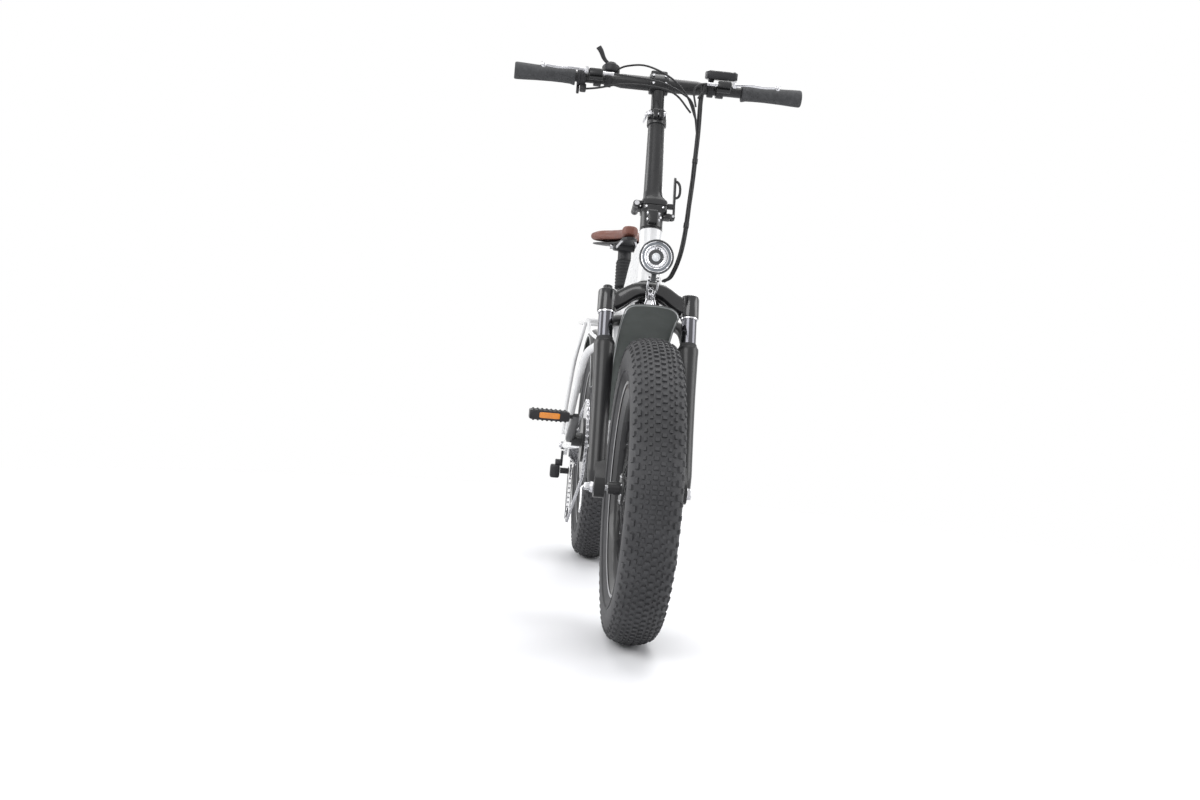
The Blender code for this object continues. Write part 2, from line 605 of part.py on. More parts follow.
plate_size = (2 * FOLD_PLATE_HALF_WIDTH, FOLD_PLATE, 2 * FOLD_PLATE_HALF_HEIGHT)
front_plate = block(plate_size, (0, fold_y - GAP - FOLD_PLATE / 2, fold_z), bevel=0.003)
knuckle = 0.36 * FOLD_PLATE_HALF_HEIGHT
knuckle_end = 0.86 * FOLD_PLATE_HALF_HEIGHT


def fold_knuckle(low, high, side):
    """A barrel on the fold pin with the web that ties it to the plate on that side of the joint."""
    barrel = cylinder(FOLD_KNUCKLE_RADIUS, (FOLD_PIN_X, fold_y, fold_z + low), (FOLD_PIN_X, fold_y, fold_z + high), 16)
    reach = FOLD_PIN_X - FOLD_PLATE_HALF_WIDTH + 0.006
    depth = 0.8 * FOLD_KNUCKLE_RADIUS
    web = block((reach, depth, high - low - 0.001), (FOLD_PIN_X - reach / 2, fold_y + side * (GAP + depth / 2),
                                             fold_z + (low + high) / 2))
    return joined(barrel, web)


def pin_bore():
    return cylinder(FOLD_PIN_RADIUS + GAP, (FOLD_PIN_X, fold_y, fold_z - 0.1), (FOLD_PIN_X, fold_y, fold_z + 0.1), 12)


latch_ears = [block((0.018, 0.0112, 0.004), (-FOLD_PLATE_HALF_WIDTH - 0.005, fold_y - 0.0065, fold_z + side * 0.0178))
              for side in (-1, 1)]
front_knuckles = [fold_knuckle(knuckle + GAP, knuckle_end, -1), fold_knuckle(-knuckle_end, -knuckle - GAP, -1)]
cavity_start = (FOLD_Y - BATTERY_SIZE[1], fold_z - BATTERY_SIZE[1] * tube_slope)
cavity = beam(TUBE_HALF_WIDTH - TUBE_WALL, TUBE_HALF_HEIGHT - TUBE_WALL, cavity_start, past_fold, 0.010)
front_frame = cut(joined(front_tube, head_tube, front_plate, *front_knuckles, *latch_ears), cavity, head_bore, pin_bore())
piece("front_frame", front_frame, front, WHITE, rear)

battery_end = (FOLD_Y - 0.006, fold_z - 0.006 * tube_slope)
battery_start = (cavity_start[0] + 0.004, cavity_start[1] + 0.004 * tube_slope)
battery = beam(TUBE_HALF_WIDTH - TUBE_WALL - GAP, TUBE_HALF_HEIGHT - TUBE_WALL - GAP, battery_start, battery_end, 0.010)
battery_face = block((0.3, 0.1, 0.5), (0, fold_y + 0.05 - 0.004, fold_z))
piece("battery_pack", cut(battery, battery_face), front, PLASTIC, rear)

pin = cylinder(FOLD_PIN_RADIUS, (FOLD_PIN_X, fold_y, fold_z - knuckle_end - 0.003),
               (FOLD_PIN_X, fold_y, fold_z + knuckle_end + 0.003), 12)
pin_head = cylinder(0.007, (FOLD_PIN_X, fold_y, fold_z + knuckle_end + GAP),
                    (FOLD_PIN_X, fold_y, fold_z + knuckle_end + 0.004), 12)
piece("fold_pin", joined(pin, pin_head), front, STEEL, rear)

# Fold latch: a lever pivoted on the front plate's right edge, whose nose hooks over the rear plate
latch_pivot = Vector((-FOLD_PLATE_HALF_WIDTH - 0.008, fold_y - FOLD_PLATE / 2, fold_z))
latch = frame_empty("fold_latch_body", latch_pivot)
arm = block((0.008, 0.085, 0.030), (-0.002, -0.044, 0), bevel=0.002)
nose = block((0.008, 0.0120, 0.022), (-0.002, 0.0005, 0), bevel=0.001)
piece("fold_latch", joined(arm, nose), latch, ALLOY)

# Rear frame: main tube's rear half, seat tube and bracket shell
seat_axis = Vector((0, math.cos(SEAT_ANGLE), math.sin(SEAT_ANGLE)))
seat_top = bracket_place + SEAT_TUBE_LENGTH * seat_axis
rear_tube = beam(TUBE_HALF_WIDTH, TUBE_HALF_HEIGHT, (FOLD_Y - 0.05, fold_z - 0.05 * tube_slope), TUBE_REAR, 0.012)
before = block((0.3, 0.3, 0.5), (0, fold_y - 0.15 + GAP, fold_z))
rear_tube = cut(rear_tube, before)
rear_plate = block(plate_size, (0, fold_y + GAP + FOLD_PLATE / 2, fold_z), bevel=0.003)
seat_tube = cylinder(SEAT_TUBE_RADIUS, bracket_place, seat_top, 18)
collar = cylinder(SEAT_TUBE_RADIUS + 0.004, seat_top - 0.024 * seat_axis, seat_top - 0.001 * seat_axis, 18)
collar_ear = block((0.028, 0.020, 0.018), seat_top - 0.011 * seat_axis + Vector((0, SEAT_TUBE_RADIUS + 0.010, 0)))
shell_tube = cylinder(SHELL_RADIUS, bracket_place - Vector((SHELL_HALF, 0, 0)), bracket_place + Vector((SHELL_HALF, 0, 0)), 18)
gusset = beam(0.016, 0.022, (BRACKET_BEHIND_FRONT_AXLE - 0.125, TUBE_REAR[1] + 0.036),
              (BRACKET_BEHIND_FRONT_AXLE + 0.005, BRACKET_HEIGHT + 0.02), 0.006)
spindle_bore = cylinder(SPINDLE_RADIUS + GAP, bracket_place - Vector((0.1, 0, 0)), bracket_place + Vector((0.1, 0, 0)), 16)
post_bore = cylinder(POST_RADIUS + GAP, bracket_place + 0.045 * seat_axis, seat_top + 0.02 * seat_axis, 16)
catch = block((0.014, 0.010, 0.024), (-FOLD_PLATE_HALF_WIDTH - 0.003, fold_y + 0.0078, fold_z), bevel=0.001)
rear_cavity = beam(TUBE_HALF_WIDTH - TUBE_WALL, TUBE_HALF_HEIGHT - TUBE_WALL, (FOLD_Y - 0.05, fold_z - 0.05 * tube_slope),
                   (TUBE_REAR[0] - 0.040, TUBE_REAR[1] - 0.040 * tube_slope), 0.010)
rear_shape = joined(rear_tube, rear_plate, fold_knuckle(-knuckle, knuckle, 1), catch)
rear_shape = joined(cut(rear_shape, rear_cavity), seat_tube, collar, collar_ear, shell_tube, gusset)
piece("rear_frame", cut(rear_shape, spindle_bore, post_bore, pin_bore()), rear, WHITE)

# Stem base: a clamp on the steerer with the lower half of the mast's hinge
base_low = HEAD_TUBE_TOP + GAP
base = cylinder(BASE_RADIUS, (0, 0, base_low), (0, 0, BASE_TOP), 18)
base_plate = block((HINGE_PLATE_HALF + 0.030, 2 * HINGE_HALF_DEPTH + 0.002, 0.010), ((0.030 - HINGE_PLATE_HALF) / 2, 0, BASE_TOP - 0.005))


def mast_knuckle(low, high, side):
    """A barrel on the mast's pin, with its web on the upper or lower side of the joint."""
    barrel = cylinder(HINGE_BARREL_RADIUS, (MAST_PIN_X, low, BASE_TOP), (MAST_PIN_X, high, BASE_TOP), 14)
    depth = 0.8 * HINGE_BARREL_RADIUS
    web = block((-MAST_PIN_X - HINGE_PLATE_HALF + 0.004, high - low - 0.001, depth),
                ((MAST_PIN_X - HINGE_PLATE_HALF + 0.004) / 2, (low + high) / 2, BASE_TOP + side * (GAP + depth / 2)))
    return joined(barrel, web)


def mast_pin_bore():
    return cylinder(MAST_PIN_RADIUS, (MAST_PIN_X, -0.05, BASE_TOP), (MAST_PIN_X, 0.05, BASE_TOP), 12)


steerer_bore = cylinder(STEERER_RADIUS + GAP, (0, 0, base_low - 0.01), (0, 0, BASE_TOP - 0.0115), 16)
pinch = block((0.020, 0.014, 0.030), (0, -BASE_RADIUS - 0.003, BASE_TOP - 0.030))
latch_seat = block((0.017, 0.018, 0.012), (BASE_RADIUS + 0.0072, 0, BASE_TOP - 0.016))
latch_ears = [block((0.015, 0.003, 0.010), (MAST_LATCH_X - 0.0045, side * 0.0062, BASE_TOP - 0.016)) for side in (-1, 1)]
base_knuckle = mast_knuckle(-HINGE_BARREL_HALF, HINGE_BARREL_HALF, -1)
mast_pin = cylinder(MAST_PIN_RADIUS - GAP, (MAST_PIN_X, -HINGE_HALF_DEPTH - 0.002, BASE_TOP),
                    (MAST_PIN_X, HINGE_HALF_DEPTH + 0.002, BASE_TOP), 12)
stem_base = cut(joined(base, base_plate, base_knuckle, pinch, latch_seat, *latch_ears, mast_pin), steerer_bore)
piece("stem_base", stem_base, steering, BLACK)
mast_hinge = frame_empty("mast_hinge_body", (MAST_PIN_X, 0, BASE_TOP), parent=steering)

# Folding mast, bored for the telescopic tube, with its clamp collar
foot_low = BASE_TOP + 2 * GAP
foot = block((HINGE_PLATE_HALF + 0.030, 2 * HINGE_HALF_DEPTH + 0.002, MAST_FOOT_HEIGHT),
             ((0.030 - HINGE_PLATE_HALF) / 2, 0, foot_low + MAST_FOOT_HEIGHT / 2), bevel=0.002)
mast_tube = cylinder(MAST_RADIUS_LOW, (0, 0, foot_low + 0.004), (0, 0, MAST_TOP - 0.004), 18, MAST_RADIUS_HIGH)
mast_collar = cylinder(COLLAR_RADIUS, (0, 0, MAST_TOP - COLLAR_HEIGHT), (0, 0, MAST_TOP), 18)
mast_ear = block((0.022, 0.014, 0.020), (0, -COLLAR_RADIUS - 0.004, MAST_TOP - COLLAR_HEIGHT / 2))
mast_knuckles = [mast_knuckle(-HINGE_HALF_DEPTH, -HINGE_BARREL_HALF - GAP, 1),
                 mast_knuckle(HINGE_BARREL_HALF + GAP, HINGE_HALF_DEPTH, 1)]
tube_bore = cylinder(STEM_TUBE_RADIUS + GAP, (0, 0, foot_low + 0.012), (0, 0, MAST_TOP + 0.01), 16)
mast_shape = cut(joined(mast_tube, foot, mast_collar, mast_ear, *mast_knuckles), tube_bore, mast_pin_bore())
piece("mast", mast_shape, mast_hinge, BLACK, steering)
mast.parent = mast_hinge
mast.location = (-MAST_PIN_X, 0, -BASE_TOP)

# Mast latch: a long lever pivoted on the base, up the mast's left side, with a looped handle
mast_latch = frame_empty("mast_latch_body", (MAST_LATCH_X, 0, BASE_TOP - 0.016), parent=steering)
latch_hub = cylinder(LEVER_HUB_RADIUS, (0, -0.0044, 0), (0, 0.0044, 0), 12)
strap = block((0.005, 0.0086, 0.034), (0.001, 0, 0.016))
upper_strap = block((0.005, 0.016, MAST_LATCH_LENGTH - 0.026), (0.001, 0, (MAST_LATCH_LENGTH + 0.026) / 2), bevel=0.0015)
nub = block((0.0132, 0.010, 0.010), (-0.0055, 0, 0.0245), bevel=0.001)
loop = pipe(smooth_path([(0.002, 0, 0.044), (0.011, 0, 0.052), (0.013, 0, 0.068), (0.002, 0, 0.082)], 8), 0.0028, 1)
piece("mast_latch", joined(latch_hub, strap, upper_strap, nub, loop), mast_latch, BLACK)

# Mast clamp lever, folded against the collar's right side
clamp_bolt_y = -COLLAR_RADIUS - 0.005
clamp_z = MAST_TOP - COLLAR_HEIGHT / 2
mast_lever = frame_empty("mast_lever_body", (-0.0160, clamp_bolt_y, clamp_z), parent=mast)
clamp_lever("mast_lever", mast_lever, (0, 0, 1), 0.040, (-1, 0, 0), (0, 1, 0))

# Telescopic stem tube with the bar clamp
stem_tube = cylinder(STEM_TUBE_RADIUS, (0, 0, MAST_TOP - STEM_INSERT), (0, 0, BAR_HEIGHT), 16)
clamp = cylinder(CLAMP_RADIUS, (-CLAMP_HALF, 0, BAR_HEIGHT), (CLAMP_HALF, 0, BAR_HEIGHT), 18)
cap = block((2 * CLAMP_HALF - 0.004, 0.022, 0.010), (0, 0, BAR_HEIGHT + CLAMP_RADIUS + 0.001))
bar_bore = cylinder(BAR_MID_RADIUS + GAP, (-0.05, 0, BAR_HEIGHT), (0.05, 0, BAR_HEIGHT), 16)
piece("stem_tube", cut(joined(clamp, stem_tube, cap), bar_bore), bar, BLACK)

bar_end = BAR_HALF - 0.004
bar_profile = [(-bar_end, 0), (-bar_end, BAR_RADIUS), (-BAR_MID_HALF - 0.02, BAR_RADIUS), (-BAR_MID_HALF, BAR_MID_RADIUS),
               (BAR_MID_HALF, BAR_MID_RADIUS), (BAR_MID_HALF + 0.02, BAR_RADIUS), (bar_end, BAR_RADIUS), (bar_end, 0)]
piece("handlebar", turned(bar_profile, 16, "X", (0, 0, BAR_HEIGHT)), bar, BLACK)

# What the bar carries, as a mirrored pair of grips, perches and brake levers
grip_bore = BAR_RADIUS + GAP
for side, label in ((-1, "right"), (1, "left")):
    inner_end, outer_end = BAR_HALF - GRIP_LENGTH, BAR_HALF
    swell = [(inner_end, grip_bore), (inner_end, GRIP_RADIUS + 0.002), (inner_end + 0.010, GRIP_RADIUS),
             (inner_end + 0.050, GRIP_RADIUS - 0.001), (outer_end - 0.020, GRIP_RADIUS + 0.001),
             (outer_end - 0.002, GRIP_RADIUS + 0.0015), (outer_end, GRIP_RADIUS - 0.001), (outer_end, 0),
             (bar_end + GAP, 0), (bar_end + GAP, grip_bore)]
    grip = turned([(side * along, radius) for along, radius in swell], 14, "X", (0, 0, BAR_HEIGHT))
    piece(f"grip_{label}", grip, bar, RUBBER)

    perch_ring = turned(ring_section(BAR_RADIUS + GAP, 0.0165, side * LEVER_PERCH_X - 0.008, side * LEVER_PERCH_X + 0.008),
                        14, "X", (0, 0, BAR_HEIGHT))
    perch_arm = block((0.030, 0.026, 0.014), (side * (LEVER_PERCH_X + 0.006), -0.026, BAR_HEIGHT - 0.004), bevel=0.002)
    barrel = cylinder(0.0042, (side * (LEVER_PERCH_X - 0.006), -0.031, BAR_HEIGHT - 0.004),
                      (side * (LEVER_PERCH_X - 0.032), -0.031, BAR_HEIGHT - 0.004), 10)
    switch = cylinder(0.0045, (side * (LEVER_PERCH_X - 0.010), -0.026, BAR_HEIGHT - 0.0140),
                      (side * (LEVER_PERCH_X + 0.018), -0.026, BAR_HEIGHT - 0.0140), 10)
    piece(f"brake_perch_{label}", joined(perch_ring, perch_arm, barrel, switch), bar, PLASTIC)

    lever_pivot = Vector((side * (LEVER_PERCH_X + 0.026), -0.038, BAR_HEIGHT - 0.004))
    lever_body = frame_empty(f"brake_lever_{label}_body", lever_pivot, parent=bar)
    root_block = cylinder(0.0047, (0, 0, -0.006), (0, 0, 0.006), 12)
    blade_path = [(side * 0.000, 0, 0), (side * 0.030, -0.007, -0.002), (side * 0.060, -0.006, -0.003),
                  (side * 0.088, -0.010, -0.003)]
    blade = pipe(smooth_path(blade_path, 8), 0.0045, 1)
    ball = turned([(-0.0065, 0), (-0.0045, 0.0048), (0, 0.0065), (0.0045, 0.0048), (0.0065, 0)], 10, "X",
                  (side * 0.090, -0.0102, -0.003))
    piece(f"brake_lever_{label}", joined(root_block, blade, ball), lever_body, ALLOY)

# Shifter with its thumb paddle, right side, and the thumb throttle outboard of it
shift_ring = turned(ring_section(BAR_RADIUS + GAP, 0.0160, SHIFTER_X - 0.007, SHIFTER_X + 0.007), 14, "X", (0, 0, BAR_HEIGHT))
pod = turned([(-0.010, 0), (-0.010, 0.016), (-0.006, 0.019), (0.006, 0.019), (0.010, 0.015), (0.010, 0)], 14, "Z",
             (SHIFTER_X + 0.006, 0.012, BAR_HEIGHT + 0.030))
pod_neck = block((0.013, 0.014, 0.022), (SHIFTER_X, 0.006, BAR_HEIGHT + 0.0235))
piece("shifter", joined(shift_ring, pod_neck, pod), bar, PLASTIC)
paddle_pivot = Vector((SHIFTER_X + 0.006, 0.012, BAR_HEIGHT + 0.0405))
paddle_body = frame_empty("shifter_paddle_body", paddle_pivot, parent=bar)
paddle_hub = cylinder(0.012, (0, 0, 0), (0, 0, 0.004), 16)
paddle = pipe(smooth_path([(-0.004, 0, 0.003), (-0.016, -0.006, 0.012), (-0.024, -0.012, 0.026), (-0.030, -0.014, 0.034)], 7), 0.0036, 1)
piece("shifter_paddle", joined(paddle_hub, paddle), paddle_body, PLASTIC)

throttle_ring = turned(ring_section(BAR_RADIUS + GAP, 0.0185, THROTTLE_X - 0.003, THROTTLE_X + 0.008), 14, "X", (0, 0, BAR_HEIGHT))
throttle_pod = block((0.0135, 0.016, 0.014), (THROTTLE_X + 0.004, 0.006, BAR_HEIGHT - 0.022))
piece("throttle", joined(throttle_ring, throttle_pod), bar, PLASTIC)
throttle_body = frame_empty("throttle_lever_body", (THROTTLE_X - 0.0065, 0, BAR_HEIGHT), parent=bar)
throttle_hub = turned(ring_section(BAR_RADIUS + GAP, 0.0180, -0.0032, 0.0032), 14)
thumb_side = block((0.0062, 0.012, 0.020), (0, 0.014, -0.020))
piece("throttle_lever", joined(throttle_hub, thumb_side), throttle_body, PLASTIC)

# Display on the left
display_ring = turned(ring_section(BAR_RADIUS + GAP, 0.0160, DISPLAY_X - 0.006, DISPLAY_X + 0.006), 14, "X", (0, 0, BAR_HEIGHT))
display_neck = block((0.012, 0.012, 0.018), (DISPLAY_X, -0.010, BAR_HEIGHT + 0.0225))
display_case = block((0.066, 0.044, 0.018), (DISPLAY_X + 0.022, -0.006, BAR_HEIGHT + 0.032),
                     Matrix.Rotation(math.radians(28), 4, "X"), bevel=0.005)
piece("display", joined(display_ring, display_neck, display_case), bar, PLASTIC)

# Rear triangle: a chainstay and a seatstay each side, with the dropout on the chainstay
drop_x = REAR_OLD / 2


def stay_point(side, x, behind, height):
    return (side * x, along_bike(behind), height)


for side, label in ((-1, "right"), (1, "left")):
    stay_x = drop_x + 0.0080
    low_path = [stay_point(side, SHELL_HALF - 0.010, BRACKET_BEHIND_FRONT_AXLE + SHELL_RADIUS + 0.006, BRACKET_HEIGHT - 0.004),
                stay_point(side, 0.056, BRACKET_BEHIND_FRONT_AXLE + 0.095, BRACKET_HEIGHT - 0.012),
                stay_point(side, 0.081, BRACKET_BEHIND_FRONT_AXLE + 0.165, BRACKET_HEIGHT - 0.022),
                stay_point(side, stay_x, WHEELBASE - 0.050, TYRE_RADIUS + 0.004)]
    chainstay = pipe(low_path, CHAINSTAY_RADIUS, 2)
    outline = [(along_bike(WHEELBASE) - 0.062, TYRE_RADIUS - 0.008), (along_bike(WHEELBASE) - 0.010, TYRE_RADIUS - 0.026),
               (along_bike(WHEELBASE) + 0.020, TYRE_RADIUS - 0.024), (along_bike(WHEELBASE) + 0.024, TYRE_RADIUS + 0.010),
               (along_bike(WHEELBASE) + 0.002, TYRE_RADIUS + 0.046), (along_bike(WHEELBASE) - 0.022, TYRE_RADIUS + 0.050),
               (along_bike(WHEELBASE) - 0.062, TYRE_RADIUS + 0.014)]
    faces = sorted((side * (drop_x + 0.0005), side * (drop_x + DROPOUT_THICKNESS)))
    dropout = plate(outline, *faces, "X")
    slot = cylinder(AXLE_RADIUS + GAP, REAR_AXLE + Vector((side * 0.06, 0, 0)), REAR_AXLE + Vector((side * 0.12, 0, 0)), 16)
    stay_parts = [chainstay, dropout]
    if side > 0:
        stay_parts.append(block((0.0165, 0.034, 0.026), (STAND_PIVOT[0] - 0.0143, STAND_PIVOT[1], STAND_PIVOT[2])))
    piece(f"chainstay_{label}", cut(joined(*stay_parts), slot), rear, WHITE)

    seat_side = bracket_place + (SEAT_TUBE_LENGTH - 0.045) * seat_axis
    high_path = [(side * (SEAT_TUBE_RADIUS + SEATSTAY_RADIUS - 0.001), seat_side.y, seat_side.z),
                 stay_point(side, 0.074, BRACKET_BEHIND_FRONT_AXLE + 0.160, seat_side.z - 0.040),
                 stay_point(side, stay_x - 0.0045, WHEELBASE - 0.016, TYRE_RADIUS + 0.036)]
    seatstay = pipe(high_path, SEATSTAY_RADIUS, 2)
    clearance = cylinder(SEAT_TUBE_RADIUS + GAP, bracket_place, seat_top, 18)
    fork_slot = block((DROPOUT_THICKNESS + 2 * GAP, 0.080, 0.080),
                      (side * (drop_x + DROPOUT_THICKNESS / 2), along_bike(WHEELBASE), TYRE_RADIUS + 0.0503 - 0.040))
    piece(f"seatstay_{label}", cut(seatstay, clearance, fork_slot), rear, WHITE)

# Rear axle with its nuts
axle_span = drop_x + DROPOUT_THICKNESS
rear_axle_shape = cylinder(AXLE_RADIUS, REAR_AXLE - Vector((axle_span + 0.014, 0, 0)), REAR_AXLE + Vector((axle_span + 0.014, 0, 0)), 12)
nuts = [cylinder(0.0105, REAR_AXLE + Vector((side * (axle_span + GAP), 0, 0)),
                 REAR_AXLE + Vector((side * (axle_span + 0.010), 0, 0)), 6) for side in (-1, 1)]
piece("rear_axle", joined(rear_axle_shape, *nuts), rear, STEEL)

# Rear mudguard and rack
guard("rear_mudguard", GUARD_RADIUS, GUARD_HALF_WIDTH, 34, 154, 15, rear, BLACK, rear_wheel)
rack_y = (along_bike(RACK_FRONT), along_bike(RACK_BACK))
corner = 0.030
loop_path = [(-RACK_HALF_WIDTH, rack_y[0], RACK_HEIGHT), (-RACK_HALF_WIDTH, rack_y[1] - corner, RACK_HEIGHT),
             (-RACK_HALF_WIDTH + corner, rack_y[1], RACK_HEIGHT), (RACK_HALF_WIDTH - corner, rack_y[1], RACK_HEIGHT),
             (RACK_HALF_WIDTH, rack_y[1] - corner, RACK_HEIGHT), (RACK_HALF_WIDTH, rack_y[0], RACK_HEIGHT)]
rack_parts = [pipe(loop_path, RACK_ROD, 1)]
for step in range(5):
    y = rack_y[0] + (rack_y[1] - rack_y[0]) * (step + 0.1) / 4.5
    rack_parts.append(block((2 * RACK_HALF_WIDTH, 0.016, 0.005), (0, y, RACK_HEIGHT + RACK_ROD - 0.0022)))
guard_slat_y = rack_y[0] + (rack_y[1] - rack_y[0]) * 2.1 / 4.5
guard_top = TYRE_RADIUS + math.sqrt(GUARD_RADIUS ** 2 - (guard_slat_y - along_bike(WHEELBASE)) ** 2)
rack_parts.append(cylinder(0.008, (0, guard_slat_y, guard_top + 0.0001), (0, guard_slat_y, RACK_HEIGHT + 0.004), 8))
rack_leg_top = along_bike(WHEELBASE) - 0.030
for side in (-1, 1):
    out = drop_x + DROPOUT_THICKNESS + 0.0055
    rack_parts.append(pipe([(side * (RACK_HALF_WIDTH - 0.002), rack_leg_top - 0.050, RACK_HEIGHT), (side * (RACK_HALF_WIDTH + 0.018), rack_leg_top - 0.035, RACK_HEIGHT - 0.100),
                            (side * out, rack_leg_top + 0.024, TYRE_RADIUS + 0.095), (side * out, along_bike(WHEELBASE) + 0.002, TYRE_RADIUS + 0.034)],
                           RACK_ROD - 0.0005, 1))
    rack_parts.append(pipe([(side * RACK_HALF_WIDTH, rack_y[0] + 0.002, RACK_HEIGHT),
                            (side * (RACK_HALF_WIDTH - 0.004), rack_y[0] - 0.030, RACK_HEIGHT - 0.030),
                            (side * 0.044, along_bike(BRACKET_BEHIND_FRONT_AXLE) + 0.128, seat_side.z - 0.004)], RACK_ROD - 0.001, 1))
piece("rear_rack", joined(*rack_parts), rear, WHITE)

# Seatpost: an outer tube that slides in the seat tube, and a sprung piston that carries the saddle


def on_post(along):
    """World place on the seat tube's axis, a distance above the bracket."""
    return bracket_place + along * seat_axis


post_body = frame_empty("seatpost_body", (0, 0, 0))
saddle_body = frame_empty("saddle_body", (0, 0, 0), parent=post_body)
boot_high = BOOT_LOW + BOOT_LENGTH
post = cylinder(POST_RADIUS, on_post(POST_LOW), on_post(BOOT_LOW), 18)
piston_bore = cylinder(PISTON_RADIUS + GAP, on_post(BOOT_LOW - PISTON_DEPTH - SEAT_TRAVEL), on_post(BOOT_LOW + 0.01), 16)
piece("seatpost", cut(post, piston_bore), post_body, BLACK)

ribs = [(GAP, PISTON_RADIUS + 0.002), (GAP, BOOT_RADIUS)]
pitch = (BOOT_LENGTH - 0.001) / BOOT_RIBS
for rib in range(BOOT_RIBS):
    ribs += [(GAP + (rib + 0.5) * pitch, BOOT_RADIUS - BOOT_RIB), (GAP + (rib + 1) * pitch, BOOT_RADIUS)]
ribs += [(ribs[-1][0], PISTON_RADIUS + 0.002)]
boot = turned(ribs, 12, "Z")
boot.data.transform(Matrix.Translation(on_post(BOOT_LOW)) @ Matrix.Rotation(SEAT_ANGLE - math.pi / 2, 4, "X"))
piece("seat_boot", boot, post_body, RUBBER)

head_middle = on_post(boot_high + 0.020)
piston = cylinder(PISTON_RADIUS, on_post(BOOT_LOW - PISTON_DEPTH), on_post(boot_high + 0.012), 16)
head = cylinder(0.0165, on_post(boot_high), on_post(boot_high + 0.030), 14)
cradle = block((2 * RAIL_X + 0.016, 0.040, 0.018), (0, head_middle.y + 0.004, RAIL_HEIGHT), bevel=0.002)
clamp_bolts = [cylinder(0.0055, (side * (RAIL_X + 0.006), head_middle.y + 0.004, RAIL_HEIGHT),
                        (side * (RAIL_X + 0.014), head_middle.y + 0.004, RAIL_HEIGHT), 8) for side in (-1, 1)]
saddle_front = along_bike(SADDLE_CENTRE) - SADDLE_LENGTH / 2


def saddle_half_width(t):
    """Half the saddle's width at t from nose to back: a slim nose that swells to round wings."""
    swell = 1 / (1 + math.exp(-12 * (t - 0.55)))
    close = math.sqrt(max(0.0, 1 - max(0.0, (t - 0.80) / 0.20) ** 2))
    nose = math.sqrt(min(1.0, 0.15 + t / 0.08))
    return (0.021 + (SADDLE_HALF_WIDTH - 0.021) * swell) * (0.25 + 0.75 * close) * nose


def saddle_solid(low, high, share, rows, columns):
    """A saddle-shaped layer from low to high, whose crown droops towards its drawn-in sides."""
    work = bmesh.new()
    loops = []
    for row in range(rows):
        t = row / (rows - 1)
        half = share * saddle_half_width(t)
        y = saddle_front + 0.003 + (SADDLE_LENGTH - 0.006) * t
        crown = high - low + 0.006 * math.sin(math.pi * t) * (-1) + 0.004 * (t > 0.85)
        ring = []
        for column in range(columns):
            phi = math.tau * column / columns
            x = half * math.cos(phi)
            lift = crown * max(0.0, math.sin(phi)) ** 0.75 if math.sin(phi) > 0 else 0.0
            tuck = 0.90 if math.sin(phi) < -0.01 else 1.0
            ring.append(work.verts.new((x * tuck, y, low + lift)))
        loops.append(ring)
    for near, far in zip(loops, loops[1:]):
        for index in range(columns):
            after = (index + 1) % columns
            work.faces.new((near[index], near[after], far[after], far[index]))
    work.faces.new(loops[0])
    work.faces.new(loops[-1])
    return work


def flat_layer(low, high, share, rows):
    """The saddle's outline as a flat shell from low to high."""
    left = [(share * saddle_half_width(row / (rows - 1)), saddle_front + 0.006 + (SADDLE_LENGTH - 0.012) * row / (rows - 1))
            for row in range(rows)]
    return plate(left + [(-x, y) for x, y in reversed(left)], low, high, "Z")


piece("saddle", from_bmesh(saddle_solid(SADDLE_FLAT, SADDLE_TOP, 1.0, 17, 16)), saddle_body, LEATHER)
base_low_z = SADDLE_FLAT - BASE_THICKNESS
shell_layer = flat_layer(base_low_z, SADDLE_FLAT - GAP, 0.86, 13)
rails = []
for side in (-1, 1):
    run = [(side * 0.012, saddle_front + 0.030, base_low_z + 0.003), (side * RAIL_X, saddle_front + 0.072, RAIL_HEIGHT),
           (side * RAIL_X, head_middle.y + 0.034, RAIL_HEIGHT), (side * (RAIL_X + 0.020), saddle_front + SADDLE_LENGTH - 0.045, base_low_z + 0.003)]
    rails.append(pipe(run, RAIL_RADIUS, 1))
piece("saddle_frame", joined(piston, head, cradle, *clamp_bolts, *rails, shell_layer), saddle_body, BLACK)

# Seat clamp lever behind the seat tube's collar
ear_middle = seat_top - 0.011 * seat_axis + Vector((0, SEAT_TUBE_RADIUS + 0.012, 0))
seat_lever = frame_empty("seat_lever_body", ear_middle + Vector((-0.0190, 0, 0)))
clamp_lever("seat_lever", seat_lever, (0, 0, 1), 0.042, (-1, 0, 0), (0, -1, 0))

# Crankset: spindle, spider, both arms and the pedal axles
right_way = Vector((0, -math.cos(CRANK_ANGLE), math.sin(CRANK_ANGLE)))
spindle = cylinder(SPINDLE_RADIUS, (-CRANK_X, 0, 0), (CRANK_X, 0, 0), 16)
spider = cylinder(0.052, (RING_X - RING_THICKNESS / 2 - GAP - 0.005, 0, 0), (RING_X - RING_THICKNESS / 2 - GAP, 0, 0), 20)
crank_parts = [spindle, spider]
for side, way in ((-1, right_way), (1, -right_way)):
    end = CRANK_LENGTH * way
    arm = block((0.013, CRANK_LENGTH + 0.030, 0.022), (side * CRANK_X, 0, 0), bevel=0.003)
    arm.data.transform(Matrix.Translation((0, end.y / 2, end.z / 2)) @ Matrix.Rotation(math.atan2(way.z, way.y), 4, "X"))
    crank_parts.append(arm)
    crank_parts.append(cylinder(PEDAL_AXLE_RADIUS, (side * CRANK_X, end.y, end.z), (side * (CRANK_X + 0.096), end.y, end.z), 12))
crank_parts.append(cylinder(0.016, (-CRANK_X + 0.004, 0, 0), (RING_X - RING_THICKNESS / 2 - 0.001, 0, 0)))
ring_bore_radius = 0.044
piece("crankset", joined(*crank_parts), crank, BLACK)
